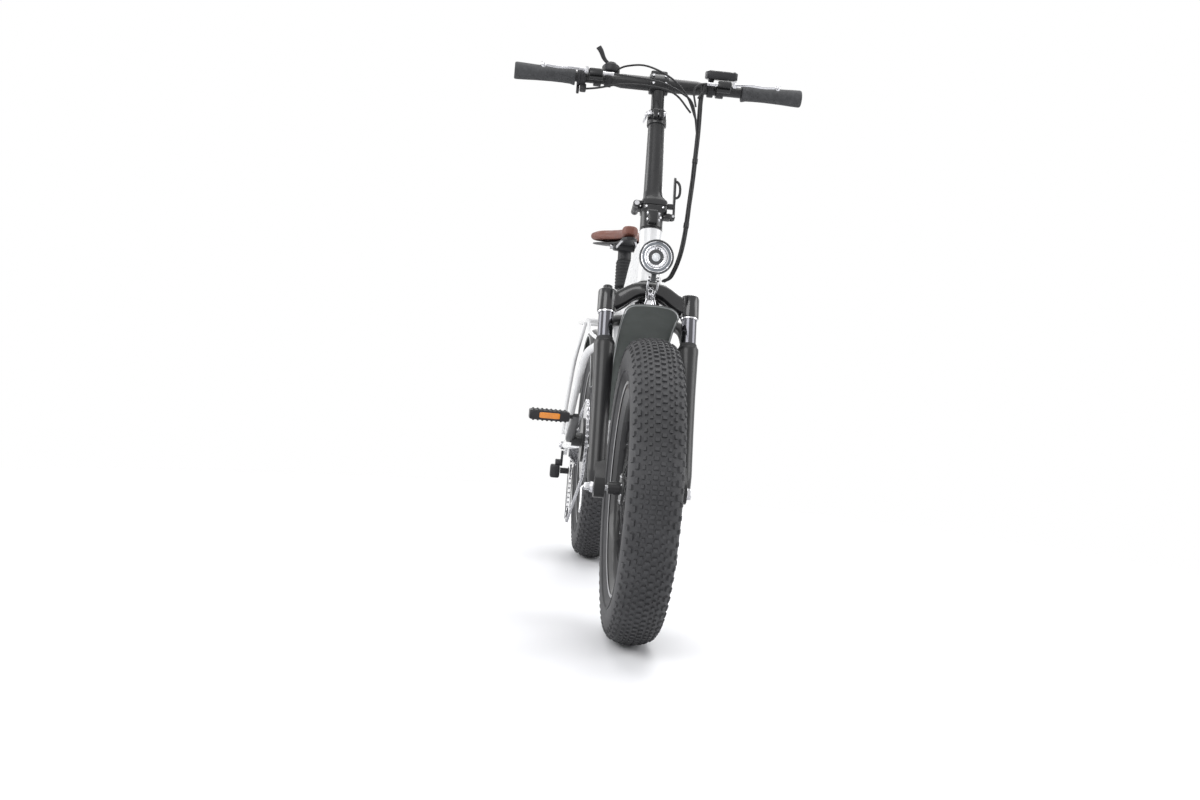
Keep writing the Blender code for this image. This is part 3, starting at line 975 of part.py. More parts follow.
piece("chainring", turned(ring_section(ring_bore_radius, RING_RADIUS, RING_X - RING_THICKNESS / 2, RING_X + RING_THICKNESS / 2), 26), crank, STEEL)

for side, label, way in ((-1, "right", right_way), (1, "left", -right_way)):
    end = CRANK_LENGTH * way
    pedal_body = frame_empty(f"pedal_{label}_body", bracket_place + end)
    middle = side * (CRANK_X + 0.015 + PEDAL_WIDTH / 2)
    slab = block((PEDAL_WIDTH, PEDAL_LENGTH, PEDAL_THICKNESS), (middle, 0, 0), bevel=0.004)
    window = block((0.024, 0.024, 0.06), (middle + side * 0.014, -0.020, 0))
    back_window = block((0.024, 0.024, 0.06), (middle + side * 0.014, 0.020, 0))
    axle_way = cylinder(PEDAL_AXLE_RADIUS + GAP, (middle - side * 0.06, 0, 0), (side * (CRANK_X + 0.0965), 0, 0), 12)
    piece(f"pedal_{label}", cut(slab, window, back_window, axle_way), pedal_body, PLASTIC)

# Cassette: small cogs outboard of the one that the chain is on, large ones inboard
cassette_body = frame_empty("cassette_body", REAR_AXLE)
on_cog, beside = CHAIN_X + 0.0038, CHAIN_X - 0.0042
cassette = turned([(-0.079, hub_bore), (-0.079, 0.029), (beside, 0.031), (beside, COG_RADIUS), (on_cog, COG_RADIUS),
                   (on_cog, 0.042), (-0.056, 0.052), (-0.056, hub_bore)], 20)
piece("cassette", cassette, cassette_body, STEEL)

# Chain: a band round the ring, the cog and both jockey wheels, seen from the left in (y, z)
rings = [(bracket_place.y, bracket_place.z, RING_RADIUS, 1), (REAR_AXLE.y, REAR_AXLE.z, COG_RADIUS, 1),
         (*UPPER_PULLEY, -1), (*LOWER_PULLEY, 1)]
ARC_STEP = math.radians(16)
wraps = []
for y, z, radius, way in rings:
    wraps.append((Vector((y, z)), (radius + GAP) / math.cos(ARC_STEP / 2) + CHAIN_THICKNESS / 2, way))
headings = []
for (first, first_radius, first_way), (last, last_radius, last_way) in zip(wraps, wraps[1:] + wraps[:1]):
    run = last - first
    offset = first_way * first_radius - last_way * last_radius
    headings.append(math.atan2(run.y, run.x) - math.asin(offset / run.length))
chain_line = []
for index, (centre, radius, way) in enumerate(wraps):
    arrive, leave = headings[index - 1], headings[index]
    turn = (arrive - leave) % math.tau if way > 0 else (leave - arrive) % math.tau
    steps = max(2, math.ceil(turn / ARC_STEP))
    for step in range(steps + 1):
        heading = arrive - way * turn * step / steps
        normal = Vector((-math.sin(heading), math.cos(heading)))
        chain_line.append((centre + way * radius * normal, normal))
links = bmesh.new()
rows = []
for middle, normal in chain_line:
    inner, outer = middle - CHAIN_THICKNESS / 2 * normal, middle + CHAIN_THICKNESS / 2 * normal
    low, high = CHAIN_X - CHAIN_WIDTH / 2, CHAIN_X + CHAIN_WIDTH / 2
    rows.append([links.verts.new(point) for point in ((low, *inner), (high, *inner), (high, *outer), (low, *outer))])
for near, far in zip(rows, rows[1:] + rows[:1]):
    for index in range(4):
        after = (index + 1) % 4
        links.faces.new((near[index], near[after], far[after], far[index]))
piece("chain", from_bmesh(links), rear, STEEL)

# Derailleur on its hanger, and the sprung cage with both jockey wheels
hanger = block((0.006, 0.014, 0.042), (-drop_x - DROPOUT_THICKNESS - GAP - 0.003, REAR_AXLE.y + 0.012, 0.2545))
links_body = block((0.026, 0.030, 0.036), (-0.1112, 0.5685, 0.2195), bevel=0.004)
b_knuckle = cylinder(0.009, (-0.0960, UPPER_PULLEY[0], 0.243), (-0.1120, UPPER_PULLEY[0], 0.243), 12)
barrel_end = cylinder(0.0040, (-0.110, 0.582, 0.212), (-0.110, 0.600, 0.212), 8)
piece("derailleur", joined(hanger, links_body, b_knuckle, barrel_end), rear, ALLOY)

cage_body = frame_empty("derailleur_cage_body", (CHAIN_X, *UPPER_PULLEY[:2]))
upper, lower = Vector((0, 0)), Vector((LOWER_PULLEY[0] - UPPER_PULLEY[0], LOWER_PULLEY[1] - UPPER_PULLEY[1]))
cage_parts = []
side_way = Vector((-lower.y, lower.x)).normalized()
for x in (-CHAIN_WIDTH / 2 - 0.0020, CHAIN_WIDTH / 2 + 0.0005):
    ends = [upper - 0.007 * side_way, upper + 0.007 * side_way, lower + 0.009 * side_way, lower - 0.009 * side_way]
    tails = [Vector((0, 0.010)), lower.normalized() * (lower.length + 0.012)]
    outline = [ends[0], tails[0], ends[1], ends[2], tails[1], ends[3]]
    cage_parts.append(plate([tuple(point) for point in outline], x, x + 0.0015, "X"))
for centre, radius in ((upper, UPPER_PULLEY[2]), (lower, LOWER_PULLEY[2])):
    cage_parts.append(cylinder(radius, (-0.0025, *centre), (0.0025, *centre), 14))
    cage_parts.append(cylinder(0.0045, (-0.0045, *centre), (0.0045, *centre), 8))
cage_parts.append(cylinder(0.0080, (-0.0284, 0, 0), (-0.0040, 0, 0), 12))
piece("derailleur_cage", joined(*cage_parts), cage_body, STEEL)

# Callipers: each straddles its disc, the front one behind the left leg, the rear one on the chainstay
front_mount = block((0.022, 0.012, 0.040), (LEG_X - 0.004, LEG_Y + LEG_RADIUS + GAP + 0.006, 0.052))
front_body = block((0.026, 0.026, 0.036), (FRONT_ROTOR_X + 0.004, LEG_Y + LEG_RADIUS + GAP + 0.013, 0.052), bevel=0.004)
front_slot = turned(ring_section(0.045, ROTOR_RADIUS + RUNNING, FRONT_ROTOR_X - 0.0016, FRONT_ROTOR_X + 0.0016), 24, "X", (0, -RAKE, 0))
front_pad = cylinder(0.007, (FRONT_ROTOR_X + 0.016, LEG_Y + LEG_RADIUS + 0.016, 0.052), (FRONT_ROTOR_X - 0.012, LEG_Y + LEG_RADIUS + 0.016, 0.052), 10)
piece("front_caliper", cut(joined(front_body, front_mount, front_pad), front_slot), lowers, BLACK)

rear_mount = block((0.040, 0.022, 0.010), (REAR_ROTOR_X + 0.012, 0.481, 0.3140))
rear_body = block((0.026, 0.030, 0.036), (REAR_ROTOR_X + 0.003, 0.481, 0.3272), bevel=0.004)
rear_slot = turned(ring_section(0.045, ROTOR_RADIUS + RUNNING, REAR_ROTOR_X - 0.0016, REAR_ROTOR_X + 0.0016), 24, "X", REAR_AXLE)
piece("rear_caliper", cut(joined(rear_body, rear_mount), rear_slot), rear, BLACK)

# Kickstand on the left chainstay, deployed so that the bike leans on it
stand_body = frame_empty("kickstand_body", STAND_PIVOT)
foot_centre = Vector((STAND_FOOT_X, STAND_PIVOT[1], STAND_FOOT_X * math.tan(STAND_LEAN) + 0.0095)) - Vector(STAND_PIVOT)
stand_hub = cylinder(0.0125, (-0.0057, 0, 0), (0.008, 0, 0), 16)
stand_leg = pipe([(0.002, 0, -0.004), tuple(0.06 * foot_centre + Vector((0.006, 0, 0))), tuple(foot_centre)], STAND_RADIUS, 2)
stand_foot = block((0.022, 0.034, 0.016), foot_centre, Matrix.Rotation(-STAND_LEAN, 4, "Y"), bevel=0.003)
piece("kickstand", joined(stand_hub, stand_leg, stand_foot), stand_body, BLACK)

# Cables: one across the bar to the left, and the loom from there down to the main tube
bar_cable = pipe(smooth_path([(-LEVER_PERCH_X + 0.0328, -0.0310, BAR_HEIGHT - 0.004), (-0.080, -0.0335, BAR_HEIGHT - 0.006),
                              (-0.020, -0.050, BAR_HEIGHT - 0.022), (0.040, -0.050, BAR_HEIGHT - 0.024),
                              (0.076, -0.041, BAR_HEIGHT - 0.034)], 12), CABLE_RADIUS, 1)
piece("bar_cable", bar_cable, bar, RUBBER)
loom = pipe(smooth_path([(LEVER_PERCH_X - 0.0367, -0.0310, BAR_HEIGHT - 0.007), (0.0905, -0.0315, BAR_HEIGHT - 0.013),
                         (0.087, -0.030, 0.850), (0.082, -0.020, 0.720), (0.068, 0.004, 0.540), (0.052, 0.034, 0.480),
                         (0.0352, 0.0400, 0.465)], 20), LOOM_RADIUS, 1)
piece("cable_loom", loom, front, RUBBER, steering)
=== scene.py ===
"""The look of a folding fat-tyre electric bike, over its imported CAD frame."""
import math

import bmesh
import bpy
import numpy as np
from mathutils import Matrix, Vector


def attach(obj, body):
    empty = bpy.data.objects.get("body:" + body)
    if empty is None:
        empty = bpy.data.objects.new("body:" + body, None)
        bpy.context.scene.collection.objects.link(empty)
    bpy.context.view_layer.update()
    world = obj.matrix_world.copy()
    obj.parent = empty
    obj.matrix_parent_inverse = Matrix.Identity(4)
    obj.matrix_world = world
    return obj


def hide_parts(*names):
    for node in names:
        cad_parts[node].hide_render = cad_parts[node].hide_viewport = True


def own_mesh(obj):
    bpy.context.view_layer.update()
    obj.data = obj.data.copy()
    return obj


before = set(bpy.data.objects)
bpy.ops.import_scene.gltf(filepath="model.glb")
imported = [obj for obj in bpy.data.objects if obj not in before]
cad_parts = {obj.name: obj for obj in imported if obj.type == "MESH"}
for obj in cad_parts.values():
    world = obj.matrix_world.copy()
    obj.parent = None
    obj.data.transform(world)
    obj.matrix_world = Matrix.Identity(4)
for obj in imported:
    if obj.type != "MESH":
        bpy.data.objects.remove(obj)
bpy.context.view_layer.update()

# View and studio. The bike leans a little on its stand, which the camera's roll gives; a plain
# pale floor and backdrop, with broad soft lamps at the front, at the sides and above.
CAMERA_PLACE = Vector((-0.291, -3.246, 0.541))
HEADING, DOWN, ROLL = math.radians(4.26), math.radians(1.84), math.radians(5.03)
FOCAL_PIXELS, PICTURE_WIDTH = 1431.9, 1200
ahead = Vector((math.sin(HEADING) * math.cos(DOWN), math.cos(HEADING) * math.cos(DOWN), -math.sin(DOWN)))
level_right = ahead.cross(Vector((0, 0, 1))).normalized()
level_up = level_right.cross(ahead)
right = level_right * math.cos(ROLL) + level_up * math.sin(ROLL)
up = level_up * math.cos(ROLL) - level_right * math.sin(ROLL)
lens = bpy.data.cameras.new("view")
lens.sensor_width = 36
lens.lens = 36 * FOCAL_PIXELS / PICTURE_WIDTH
camera = bpy.data.objects.new("view", lens)
bpy.context.scene.collection.objects.link(camera)
camera.matrix_world = Matrix.Translation(CAMERA_PLACE) @ Matrix((right, up, -ahead)).transposed().to_4x4()
bpy.context.scene.camera = camera


def lamp(name, place, target, size, watts):
    """A square soft lamp at place that looks at target."""
    light = bpy.data.lights.new(name, "AREA")
    light.shape, light.size, light.energy = "SQUARE", size, watts
    holder = bpy.data.objects.new(name, light)
    bpy.context.scene.collection.objects.link(holder)
    way = Vector(target) - Vector(place)
    holder.matrix_world = Matrix.Translation(place) @ way.to_track_quat("-Z", "Y").to_matrix().to_4x4()


lamp("front_lamp", (-1.6, -3.0, 2.4), (0, 0, 0.5), 2.2, 62)
lamp("top_lamp", (0.4, 0.2, 3.4), (0, 0, 0.3), 2.6, 58)
lamp("left_lamp", (3.0, -0.8, 1.6), (0, 0, 0.5), 2.0, 46)
lamp("right_lamp", (-3.0, 0.6, 1.5), (0, 0, 0.5), 2.0, 46)
lamp("back_lamp", (0.8, 3.2, 2.0), (0, 0, 0.6), 2.0, 40)


class Socket:
    """A shader value for plain arithmetic: each operator adds one Math node."""

    def __init__(self, nodes, link):
        self.nodes, self.link = nodes, link

    def _math(self, operation, first, second):
        return self.nodes.node("ShaderNodeMath", {"operation": operation}, {0: first, 1: second})

    def __add__(self, other):
        return self._math("ADD", self, other)

    def __radd__(self, other):
        return self._math("ADD", other, self)

    def __sub__(self, other):
        return self._math("SUBTRACT", self, other)

    def __rsub__(self, other):
        return self._math("SUBTRACT", other, self)

    def __mul__(self, other):
        return self._math("MULTIPLY", self, other)

    def __rmul__(self, other):
        return self._math("MULTIPLY", other, self)


class Nodes:
    """A node tree, with one method that adds any node."""

    def __init__(self, tree):
        self.tree = tree

    def node(self, kind, settings={}, inputs={}, output=0):
        made = self.tree.nodes.new(kind)
        for key, value in settings.items():
            if key == "stops":
                for index, (place, shade) in enumerate(value):
                    stops = made.color_ramp.elements
                    stop = stops[index] if index < 2 else stops.new(place)
                    stop.position, stop.color = place, (*shade, 1)
            else:
                setattr(made, key, value)
        for key, value in inputs.items():
            if isinstance(value, Socket):
                self.tree.links.new(value.link, made.inputs[key])
            else:
                made.inputs[key].default_value = value
        return Socket(self, made.outputs[output])

    def ends_in(self, value, kind):
        target = next(n for n in self.tree.nodes if n.bl_idname == kind)
        self.tree.links.new(value.link, target.inputs[0])


class Finish(Nodes):
    """A material with its shader; what is the same all over is set on the shader's own sockets."""

    def __init__(self, name, roughness=0.5, metallic=0.0, coat=0.0, **plain):
        self.material = bpy.data.materials.new(name)
        self.material.use_nodes = True
        super().__init__(self.material.node_tree)
        self.shader = self.tree.nodes["Principled BSDF"]
        for socket, value in {"Roughness": roughness, "Metallic": metallic, "Coat_Weight": coat,
                              **plain}.items():
            self.shader.inputs[socket.replace("_", " ")].default_value = value

    def place(self):
        return self.node("ShaderNodeTexCoord", output="Object")

    def axis(self, index, centre=0.0):
        """One coordinate of the surface, measured from centre."""
        return self.node("ShaderNodeSeparateXYZ", {}, {0: self.place()}, index) - centre

    def noise(self, scale, detail=3.0, rough=0.5, stretch=None):
        """Noise at a scale of features per metre, drawn out along the axes if wanted."""
        where = self.place()
        if stretch:
            where = self.node("ShaderNodeMapping", {}, {"Vector": where, "Scale": stretch})
        return self.node("ShaderNodeTexNoise", {}, {"Vector": where, "Scale": scale, "Detail": detail,
                                                    "Roughness": rough})

    def ramp(self, factor, *stops):
        return self.node("ShaderNodeValToRGB", {"stops": stops}, {0: factor})

    def colour(self, value):
        if isinstance(value, Socket):
            self.tree.links.new(value.link, self.shader.inputs["Base Color"])
        else:
            self.shader.inputs["Base Color"].default_value = (*value, 1)

    def roughness(self, value):
        self.tree.links.new(value.link, self.shader.inputs["Roughness"])

    def bump(self, height, depth, strength=1.0):
        """Relief of a height field from 0 to 1 that is depth metres deep."""
        made = self.node("ShaderNodeBump", {}, {"Strength": strength, "Distance": depth, "Height": height})
        self.tree.links.new(made.link, self.shader.inputs["Normal"])


def seen_directly(nodes):
    """1 where a ray comes from the camera, a gloss or a clear body, which should meet plain white."""
    rays = [nodes.node("ShaderNodeLightPath", output=name) for name in
            ("Is Camera Ray", "Is Glossy Ray", "Is Transmission Ray")]
    return nodes.node("ShaderNodeMath", {"operation": "MINIMUM"}, {0: rays[0] + rays[1] + rays[2], 1: 1.0})


world = bpy.data.worlds.new("studio")
bpy.context.scene.world = world
world.use_nodes = True
air = Nodes(world.node_tree)
ambient = air.node("ShaderNodeBackground", {}, {0: (0.93, 0.95, 1.0, 1), 1: 0.45})
blank = air.node("ShaderNodeBackground", {}, {0: (1, 1, 1, 1), 1: 1.0})
air.ends_in(air.node("ShaderNodeMixShader", {}, {0: seen_directly(air), 1: ambient, 2: blank}),
            "ShaderNodeOutputWorld")
bpy.context.scene.view_settings.view_transform = "Standard"

ground = bpy.data.meshes.new("floor")
ground.from_pydata([(-9, -9, 0), (9, -9, 0), (9, 9, 0), (-9, 9, 0)], [], [(0, 1, 2, 3)])
floor_white = Finish("floor_white", roughness=0.6)
floor_white.colour((0.88, 0.88, 0.89))
away = floor_white.node("ShaderNodeVectorMath", {"operation": "LENGTH"}, {0: floor_white.place()}, 1)
fade = floor_white.ramp(away * 0.25, (0.36, (1, 1, 1)), (0.60, (0, 0, 0)))
floor_white.tree.links.new(fade.link, floor_white.shader.inputs["Alpha"])
ground.materials.append(floor_white.material)
floor = bpy.data.objects.new("floor", ground)
bpy.context.scene.collection.objects.link(floor)

# Tyres: black rubber, 580 mm across and 100 mm wide, with a pair of short centre bars, small square
# blocks beside them and larger shoulder knobs. Moulded in one; each takes its CAD carcass's place.
FRONT_AXLE, REAR_AXLE = np.array((0, -0.555, 0.29)), np.array((0, 0.555, 0.29))
PITCHES = 108


def smooth(points, count):
    """Evenly spaced points on a curve through the given ones: each span is the cubic whose end
    slopes are half the chord between the points on either side."""
    p = np.asarray(points, float)
    p = np.vstack((2 * p[0] - p[1], p, 2 * p[-1] - p[-2]))
    t = np.linspace(0, 1, 40, endpoint=False)[:, None, None]
    a, b, c, d = p[:-3], p[1:-2], p[2:-1], p[3:]
    dense = 0.5 * (2 * b + (c - a) * t + (2 * a - 5 * b + 4 * c - d) * t ** 2 +
                   (3 * b - a - 3 * c + d) * t ** 3)
    dense = np.vstack((dense.transpose(1, 0, 2).reshape(-1, p.shape[1]), p[-2]))
    gone = np.concatenate(([0], np.cumsum(np.linalg.norm(np.diff(dense, axis=0), axis=1))))
    at = np.linspace(0, gone[-1], count)
    return np.stack([np.interp(at, gone, dense[:, k]) for k in range(p.shape[1])], 1)


def weave(rows, columns, wrap_rows, wrap_columns):
    """Quads of a grid of rows by columns points, its last joined to its first where it wraps."""
    i = np.arange(rows if wrap_rows else rows - 1)[:, None]
    j = np.arange(columns if wrap_columns else columns - 1)[None, :]
    i2, j2 = (i + 1) % rows, (j + 1) % columns
    return np.stack([i * columns + j, i * columns + j2, i2 * columns + j2, i2 * columns + j],
                    -1).reshape(-1, 4).tolist()


def square_to(way):
    """A direction as a unit vector, with two more that are square to it."""
    way = np.asarray(way, float) / np.linalg.norm(way)
    first = np.cross(way, np.eye(3)[np.argmin(np.abs(way))])
    first /= np.linalg.norm(first)
    return way, first, np.cross(way, first)


def turned(profile, start=(0, 0, 0), way=(1, 0, 0), steps=48, closed=False):
    """A profile of (along, radius) turned round a line: start + along * way + radius * (cos a *
    one square direction + sin a * the other). Closed joins the profile's end to its start."""
    profile = np.asarray(profile, float)
    way, first, second = square_to(way)
    angle = np.linspace(0, math.tau, steps, endpoint=False)
    ring = np.cos(angle)[:, None] * first + np.sin(angle)[:, None] * second
    points = np.asarray(start) + profile[:, :1, None] * way + profile[:, 1:, None] * ring
    return points.reshape(-1, 3), weave(len(profile), steps, closed, True)


def finished(name, parts, finish, body, stands_for=(), bevel=0.0, levels=0, wall=0.0, sharp=38):
    """Makes one piece of (points, faces) parts: doubles merged, faces out, edges eased, riding on its
    body."""
    points, faces, count = [], [], 0
    for part_points, part_faces in parts:
        points.append(np.asarray(part_points, float))
        faces += [[index + count for index in face] for face in part_faces]
        count += len(part_points)
    mesh = bpy.data.meshes.new(name)
    mesh.from_pydata(np.vstack(points), [], faces)
    work = bmesh.new()
    work.from_mesh(mesh)
    bmesh.ops.remove_doubles(work, verts=work.verts, dist=2e-6)
    bmesh.ops.dissolve_degenerate(work, edges=work.edges, dist=1e-7)
    bmesh.ops.recalc_face_normals(work, faces=work.faces)
    work.to_mesh(mesh)
    work.free()
    mesh.materials.append(finish.material)
    piece = bpy.data.objects.new(name, mesh)
    bpy.context.scene.collection.objects.link(piece)
    if wall:
        shell = piece.modifiers.new("wall", "SOLIDIFY")
        shell.thickness, shell.offset, shell.use_even_offset = wall, -1, True
    if bevel:
        ease = piece.modifiers.new("ease", "BEVEL")
        ease.width, ease.segments, ease.limit_method, ease.angle_limit = bevel, 2, "ANGLE", math.radians(30)
    if levels:
        rounder = piece.modifiers.new("round", "SUBSURF")
        rounder.levels = rounder.render_levels = levels
    mesh.shade_smooth()
    mesh.set_sharp_from_angle(angle=math.radians(sharp))
    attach(piece, body)
    if stands_for:
        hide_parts(*([stands_for] if isinstance(stands_for, str) else stands_for))
    return piece


def on_side(side, line):
    """The points of a line, with x * side."""
    return [(side * x, *rest) for x, *rest in line]


def tread(rows, carcass):
    """Blocks on half a carcass line of (x, radius): each row is (side, distance from the crown, width,
    length, height, number round, shift). A corner lies that distance along the line, then width
    across it, height along the line's normal, and length along the tyre's turn."""
    corner = np.array([(x * s, y * s, z) for z, s in ((0, 1.0), (1, 0.78))
                       for x, y in ((-1, -1), (1, -1), (1, 1), (-1, 1))])
    box = np.array([(3, 2, 1, 0), (4, 5, 6, 7), (0, 1, 5, 4), (1, 2, 6, 5), (2, 3, 7, 6), (3, 0, 4, 7)])
    gone = np.concatenate(([0], np.cumsum(np.linalg.norm(np.diff(carcass, axis=0), axis=1))))
    points, faces, count = [], [], 0
    for side, place, width, length, height, number, shift in rows:
        spot, beyond = (np.array([np.interp(place + step, gone, carcass[:, k]) for k in (0, 1)])
                        for step in (0, 0.002))
        slope = (beyond - spot) / np.linalg.norm(beyond - spot)
        normal = np.array((-slope[1], slope[0]))
        u, v = corner[:, 0] * width / 2, corner[:, 1] * length / 2
        w = corner[:, 2] * (height + 0.002) - 0.002
        x, radius = spot[0] + slope[0] * u + normal[0] * w, spot[1] + slope[1] * u + normal[1] * w
        turn = math.tau * (np.arange(number)[:, None] + shift) / number + v / spot[1]
        sideways = np.broadcast_to(side * x, turn.shape)
        points.append(np.stack([sideways, radius * np.cos(turn), radius * np.sin(turn)], -1).reshape(-1, 3))
        faces.append((box[None] + count + 8 * np.arange(number)[:, None, None]).reshape(-1, 4))
        count += 8 * number
    return np.vstack(points), np.vstack(faces).tolist()


tyre_rubber = Finish("tyre_rubber", roughness=0.72)
dust, scuff = tyre_rubber.noise(9.0, 5.0, 0.6), tyre_rubber.noise(160.0, 3.0, 0.6)
tyre_rubber.colour(tyre_rubber.ramp(dust * 0.7 + scuff * 0.3, (0.30, (0.020, 0.020, 0.022)),
                                    (0.72, (0.055, 0.055, 0.058))))
tyre_rubber.roughness(0.55 + scuff * 0.3)
tyre_rubber.bump(tyre_rubber.noise(900.0, 2.0) * 0.6 + scuff * 0.4, 0.00025)

crown_to_bead = smooth([(0, 0.2864), (0.0120, 0.2858), (0.0260, 0.2826), (0.0395, 0.2745), (0.0470, 0.2610),
                        (0.0494, 0.2440), (0.0470, 0.2270), (0.0410, 0.2125), (0.0366, 0.2056)], 24)
outside = np.vstack((crown_to_bead[::-1] * (-1, 1), crown_to_bead[1:]))
inside = np.stack([outside[:, 0] * 0.90, 0.2056 + (outside[:, 1] - 0.2056) * 0.93], 1)[::-1]
knobs = []
for side in (-1, 1):
    knobs += [(side, 0.0058, 0.0096, 0.0078, 0.0034, PITCHES, 0.25 * (side + 1)),
              (side, 0.0170, 0.0064, 0.0072, 0.0034, PITCHES, 0.5 - 0.25 * (side + 1)),
              (side, 0.0262, 0.0062, 0.0078, 0.0033, PITCHES, 0.25 * (side + 1)),
              (side, 0.0385, 0.0088, 0.0120, 0.0036, 72, 0.25),
              (side, 0.0505, 0.0090, 0.0100, 0.0026, 72, 0.75)]
blocks = tread(knobs, crown_to_bead)
rib_line = ((0.0462, 0.2230), (0.0482, 0.2240), (0.0486, 0.2258), (0.0470, 0.2272))
for label, hub_place in (("front", FRONT_AXLE), ("rear", REAR_AXLE)):
    carcass = turned(np.vstack((outside, inside)), hub_place, steps=160, closed=True)
    ribs = [turned(on_side(side, rib_line), hub_place, steps=120, closed=True) for side in (-1, 1)]
    finished(f"{label}_tyre_tread", [carcass, (blocks[0] + hub_place, blocks[1]), *ribs], tyre_rubber,
             f"{label}_wheel", f"{label}_tyre")

# Wheels: an 80 mm single-wall alloy rim, black, with a paler edge ring that is a painted highlight and
# round cut-outs that show the rim strip, laced with 36 black spokes. The front hub is slim and the rear
# one is the motor.
RIM_BED, RIM_EDGE, SPOKE_COUNT, CUT_OUTS = 0.187, 0.2044, 36, 18


def coated(name, tone, roughness, coat=0.0, metallic=0.0, grain=900.0, relief=0.00003, drift=0.25, **plain):
    """A coated or moulded surface: its tone drifts over a hand's width, its roughness carries fine
    smears, and a fine grain lifts it."""
    if max(tone) < 0.05:
        plain.setdefault("Specular_IOR_Level", 0.3)
    made = Finish(name, roughness, metallic, coat, **plain)
    broad, smear, fine = made.noise(13.0, 4.0), made.noise(75.0, 4.0, 0.65), made.noise(grain, 2.0)
    low, high = (tuple(min(0.95, part * (1 + way * drift)) for part in tone) for way in (-1, 1))
    made.colour(made.ramp(broad * 0.65 + fine * 0.35, (0.36, low), (0.64, high)))
    made.roughness(roughness * 0.75 + smear * (roughness * 0.5))
    made.bump(fine, relief)
    return made


def drilled(count, half_turn, half_across, hole_turn, hole_across, place):
    """A band of count cells with a round hole in each: a point of a cell lies on the straight line
    from the hole's edge to the cell's edge in the same direction; place maps (turn, across) to space."""
    side = np.linspace(-1, 1, 7)[:-1]
    edge = np.vstack([np.stack(pair, 1) for pair in ((side, -np.ones(6)), (np.ones(6), side),
                                                     (-side, np.ones(6)), (-np.ones(6), -side))])
    round_edge = edge / np.linalg.norm(edge, axis=1)[:, None]
    share = np.array((0.0, 0.35, 1.0))[:, None, None]
    cell = (1 - share) * round_edge * (hole_turn, hole_across) + share * edge * (half_turn, half_across)
    turn = 2 * half_turn * np.arange(count)[:, None, None] + cell[None, ..., 0]
    points = place(turn, np.broadcast_to(cell[None, ..., 1], turn.shape)).reshape(-1, 3)
    quads = np.array(weave(3, 24, False, True))
    return points, (quads[None] + 72 * np.arange(count)[:, None, None]).reshape(-1, 4).tolist()


def rods(starts, ends, radius, sides=6):
    """Straight round bars, one from each start to its end: rings of start or end + radius * (cos a *
    one square direction + sin a * the other)."""
    starts, ends = np.asarray(starts, float), np.asarray(ends, float)
    way = (ends - starts) / np.linalg.norm(ends - starts, axis=1)[:, None]
    first = np.cross(way, np.where(np.abs(way[:, :1]) > 0.8, (0, 1, 0), (1, 0, 0)))
    first /= np.linalg.norm(first, axis=1)[:, None]
    second = np.cross(way, first)
    angle = np.linspace(0, math.tau, sides, endpoint=False)[None, :, None]
    ring = radius * (np.cos(angle) * first[:, None] + np.sin(angle) * second[:, None])
    points = np.stack([starts[:, None] + ring, ends[:, None] + ring], 1).reshape(-1, 3)
    wrap = (np.arange(sides) + 1) % sides
    quads = np.stack([np.arange(sides), wrap, wrap + sides, np.arange(sides) + sides], 1)
    base = 2 * sides * np.arange(len(starts))
    faces = (quads[None] + base[:, None, None]).reshape(-1, 4).tolist()
    faces += (np.arange(sides)[None, ::-1] + base[:, None]).tolist()
    faces += (np.arange(sides)[None] + sides + base[:, None]).tolist()
    return points, faces


def round_places(centre, radius, count, shift=0.0, x=0.0):
    """Count places on a circle about the X axis through centre."""
    angle = math.tau * (np.arange(count) + shift) / count
    return np.stack([np.full(count, x), radius * np.cos(angle), radius * np.sin(angle)], 1) + centre


satin_black = coated("satin_black_coat", (0.018, 0.018, 0.019), 0.36, coat=0.15)
# The rim edge's paler metallic grey is a painted highlight: the rim is black, and the light line at its
# edge is light caught on it.
rim_edge_highlight = coated("rim_edge_painted_highlight", (0.30, 0.30, 0.31), 0.34, metallic=1.0, drift=0.15)
bright_steel = coated("bright_steel", (0.55, 0.55, 0.57), 0.26, metallic=1.0, drift=0.12)
rim_strip = coated("rim_strip_cloth", (0.16, 0.16, 0.17), 0.8, grain=1500.0, relief=0.0001)
front_hub_line = [(-0.0615, 0.0064), (-0.0615, 0.0115), (-0.0400, 0.0130), (-0.0375, 0.0290),
                  (-0.0360, 0.0300), (-0.0325, 0.0300), (-0.0310, 0.0285), (-0.0270, 0.0175), (0, 0.0160),
                  (0.0270, 0.0175), (0.0310, 0.0285), (0.0325, 0.0300), (0.0360, 0.0300), (0.0375, 0.0290),
                  (0.0400, 0.0170), (0.0520, 0.0170), (0.0522, 0.0120), (0.0615, 0.0115), (0.0615, 0.0064)]
motor_line = [(-0.0550, 0.0064), (-0.0550, 0.0180), (-0.0400, 0.0240), (-0.0385, 0.0560), (-0.0360, 0.0740),
              (-0.0300, 0.0795), (-0.0220, 0.0800), (-0.0200, 0.0770), (0.0200, 0.0770), (0.0220, 0.0800),
              (0.0300, 0.0795), (0.0360, 0.0740), (0.0385, 0.0560), (0.0400, 0.0240), (0.0640, 0.0220),
              (0.0644, 0.0160), (0.0770, 0.0160), (0.0770, 0.0064)]
rim_line = ((0.0300, RIM_BED), (0.0365, 0.1975), (0.0400, RIM_EDGE), (0.0392, 0.2047), (0.0370, 0.2047),
            (0.0366, 0.2010), (0.0300, 0.1905), (0.0285, 0.1890))
wheels = (("front", FRONT_AXLE, 0.0255, 0.034, 0.70, front_hub_line),
          ("rear", REAR_AXLE, 0.0745, 0.026, 0.22, motor_line))
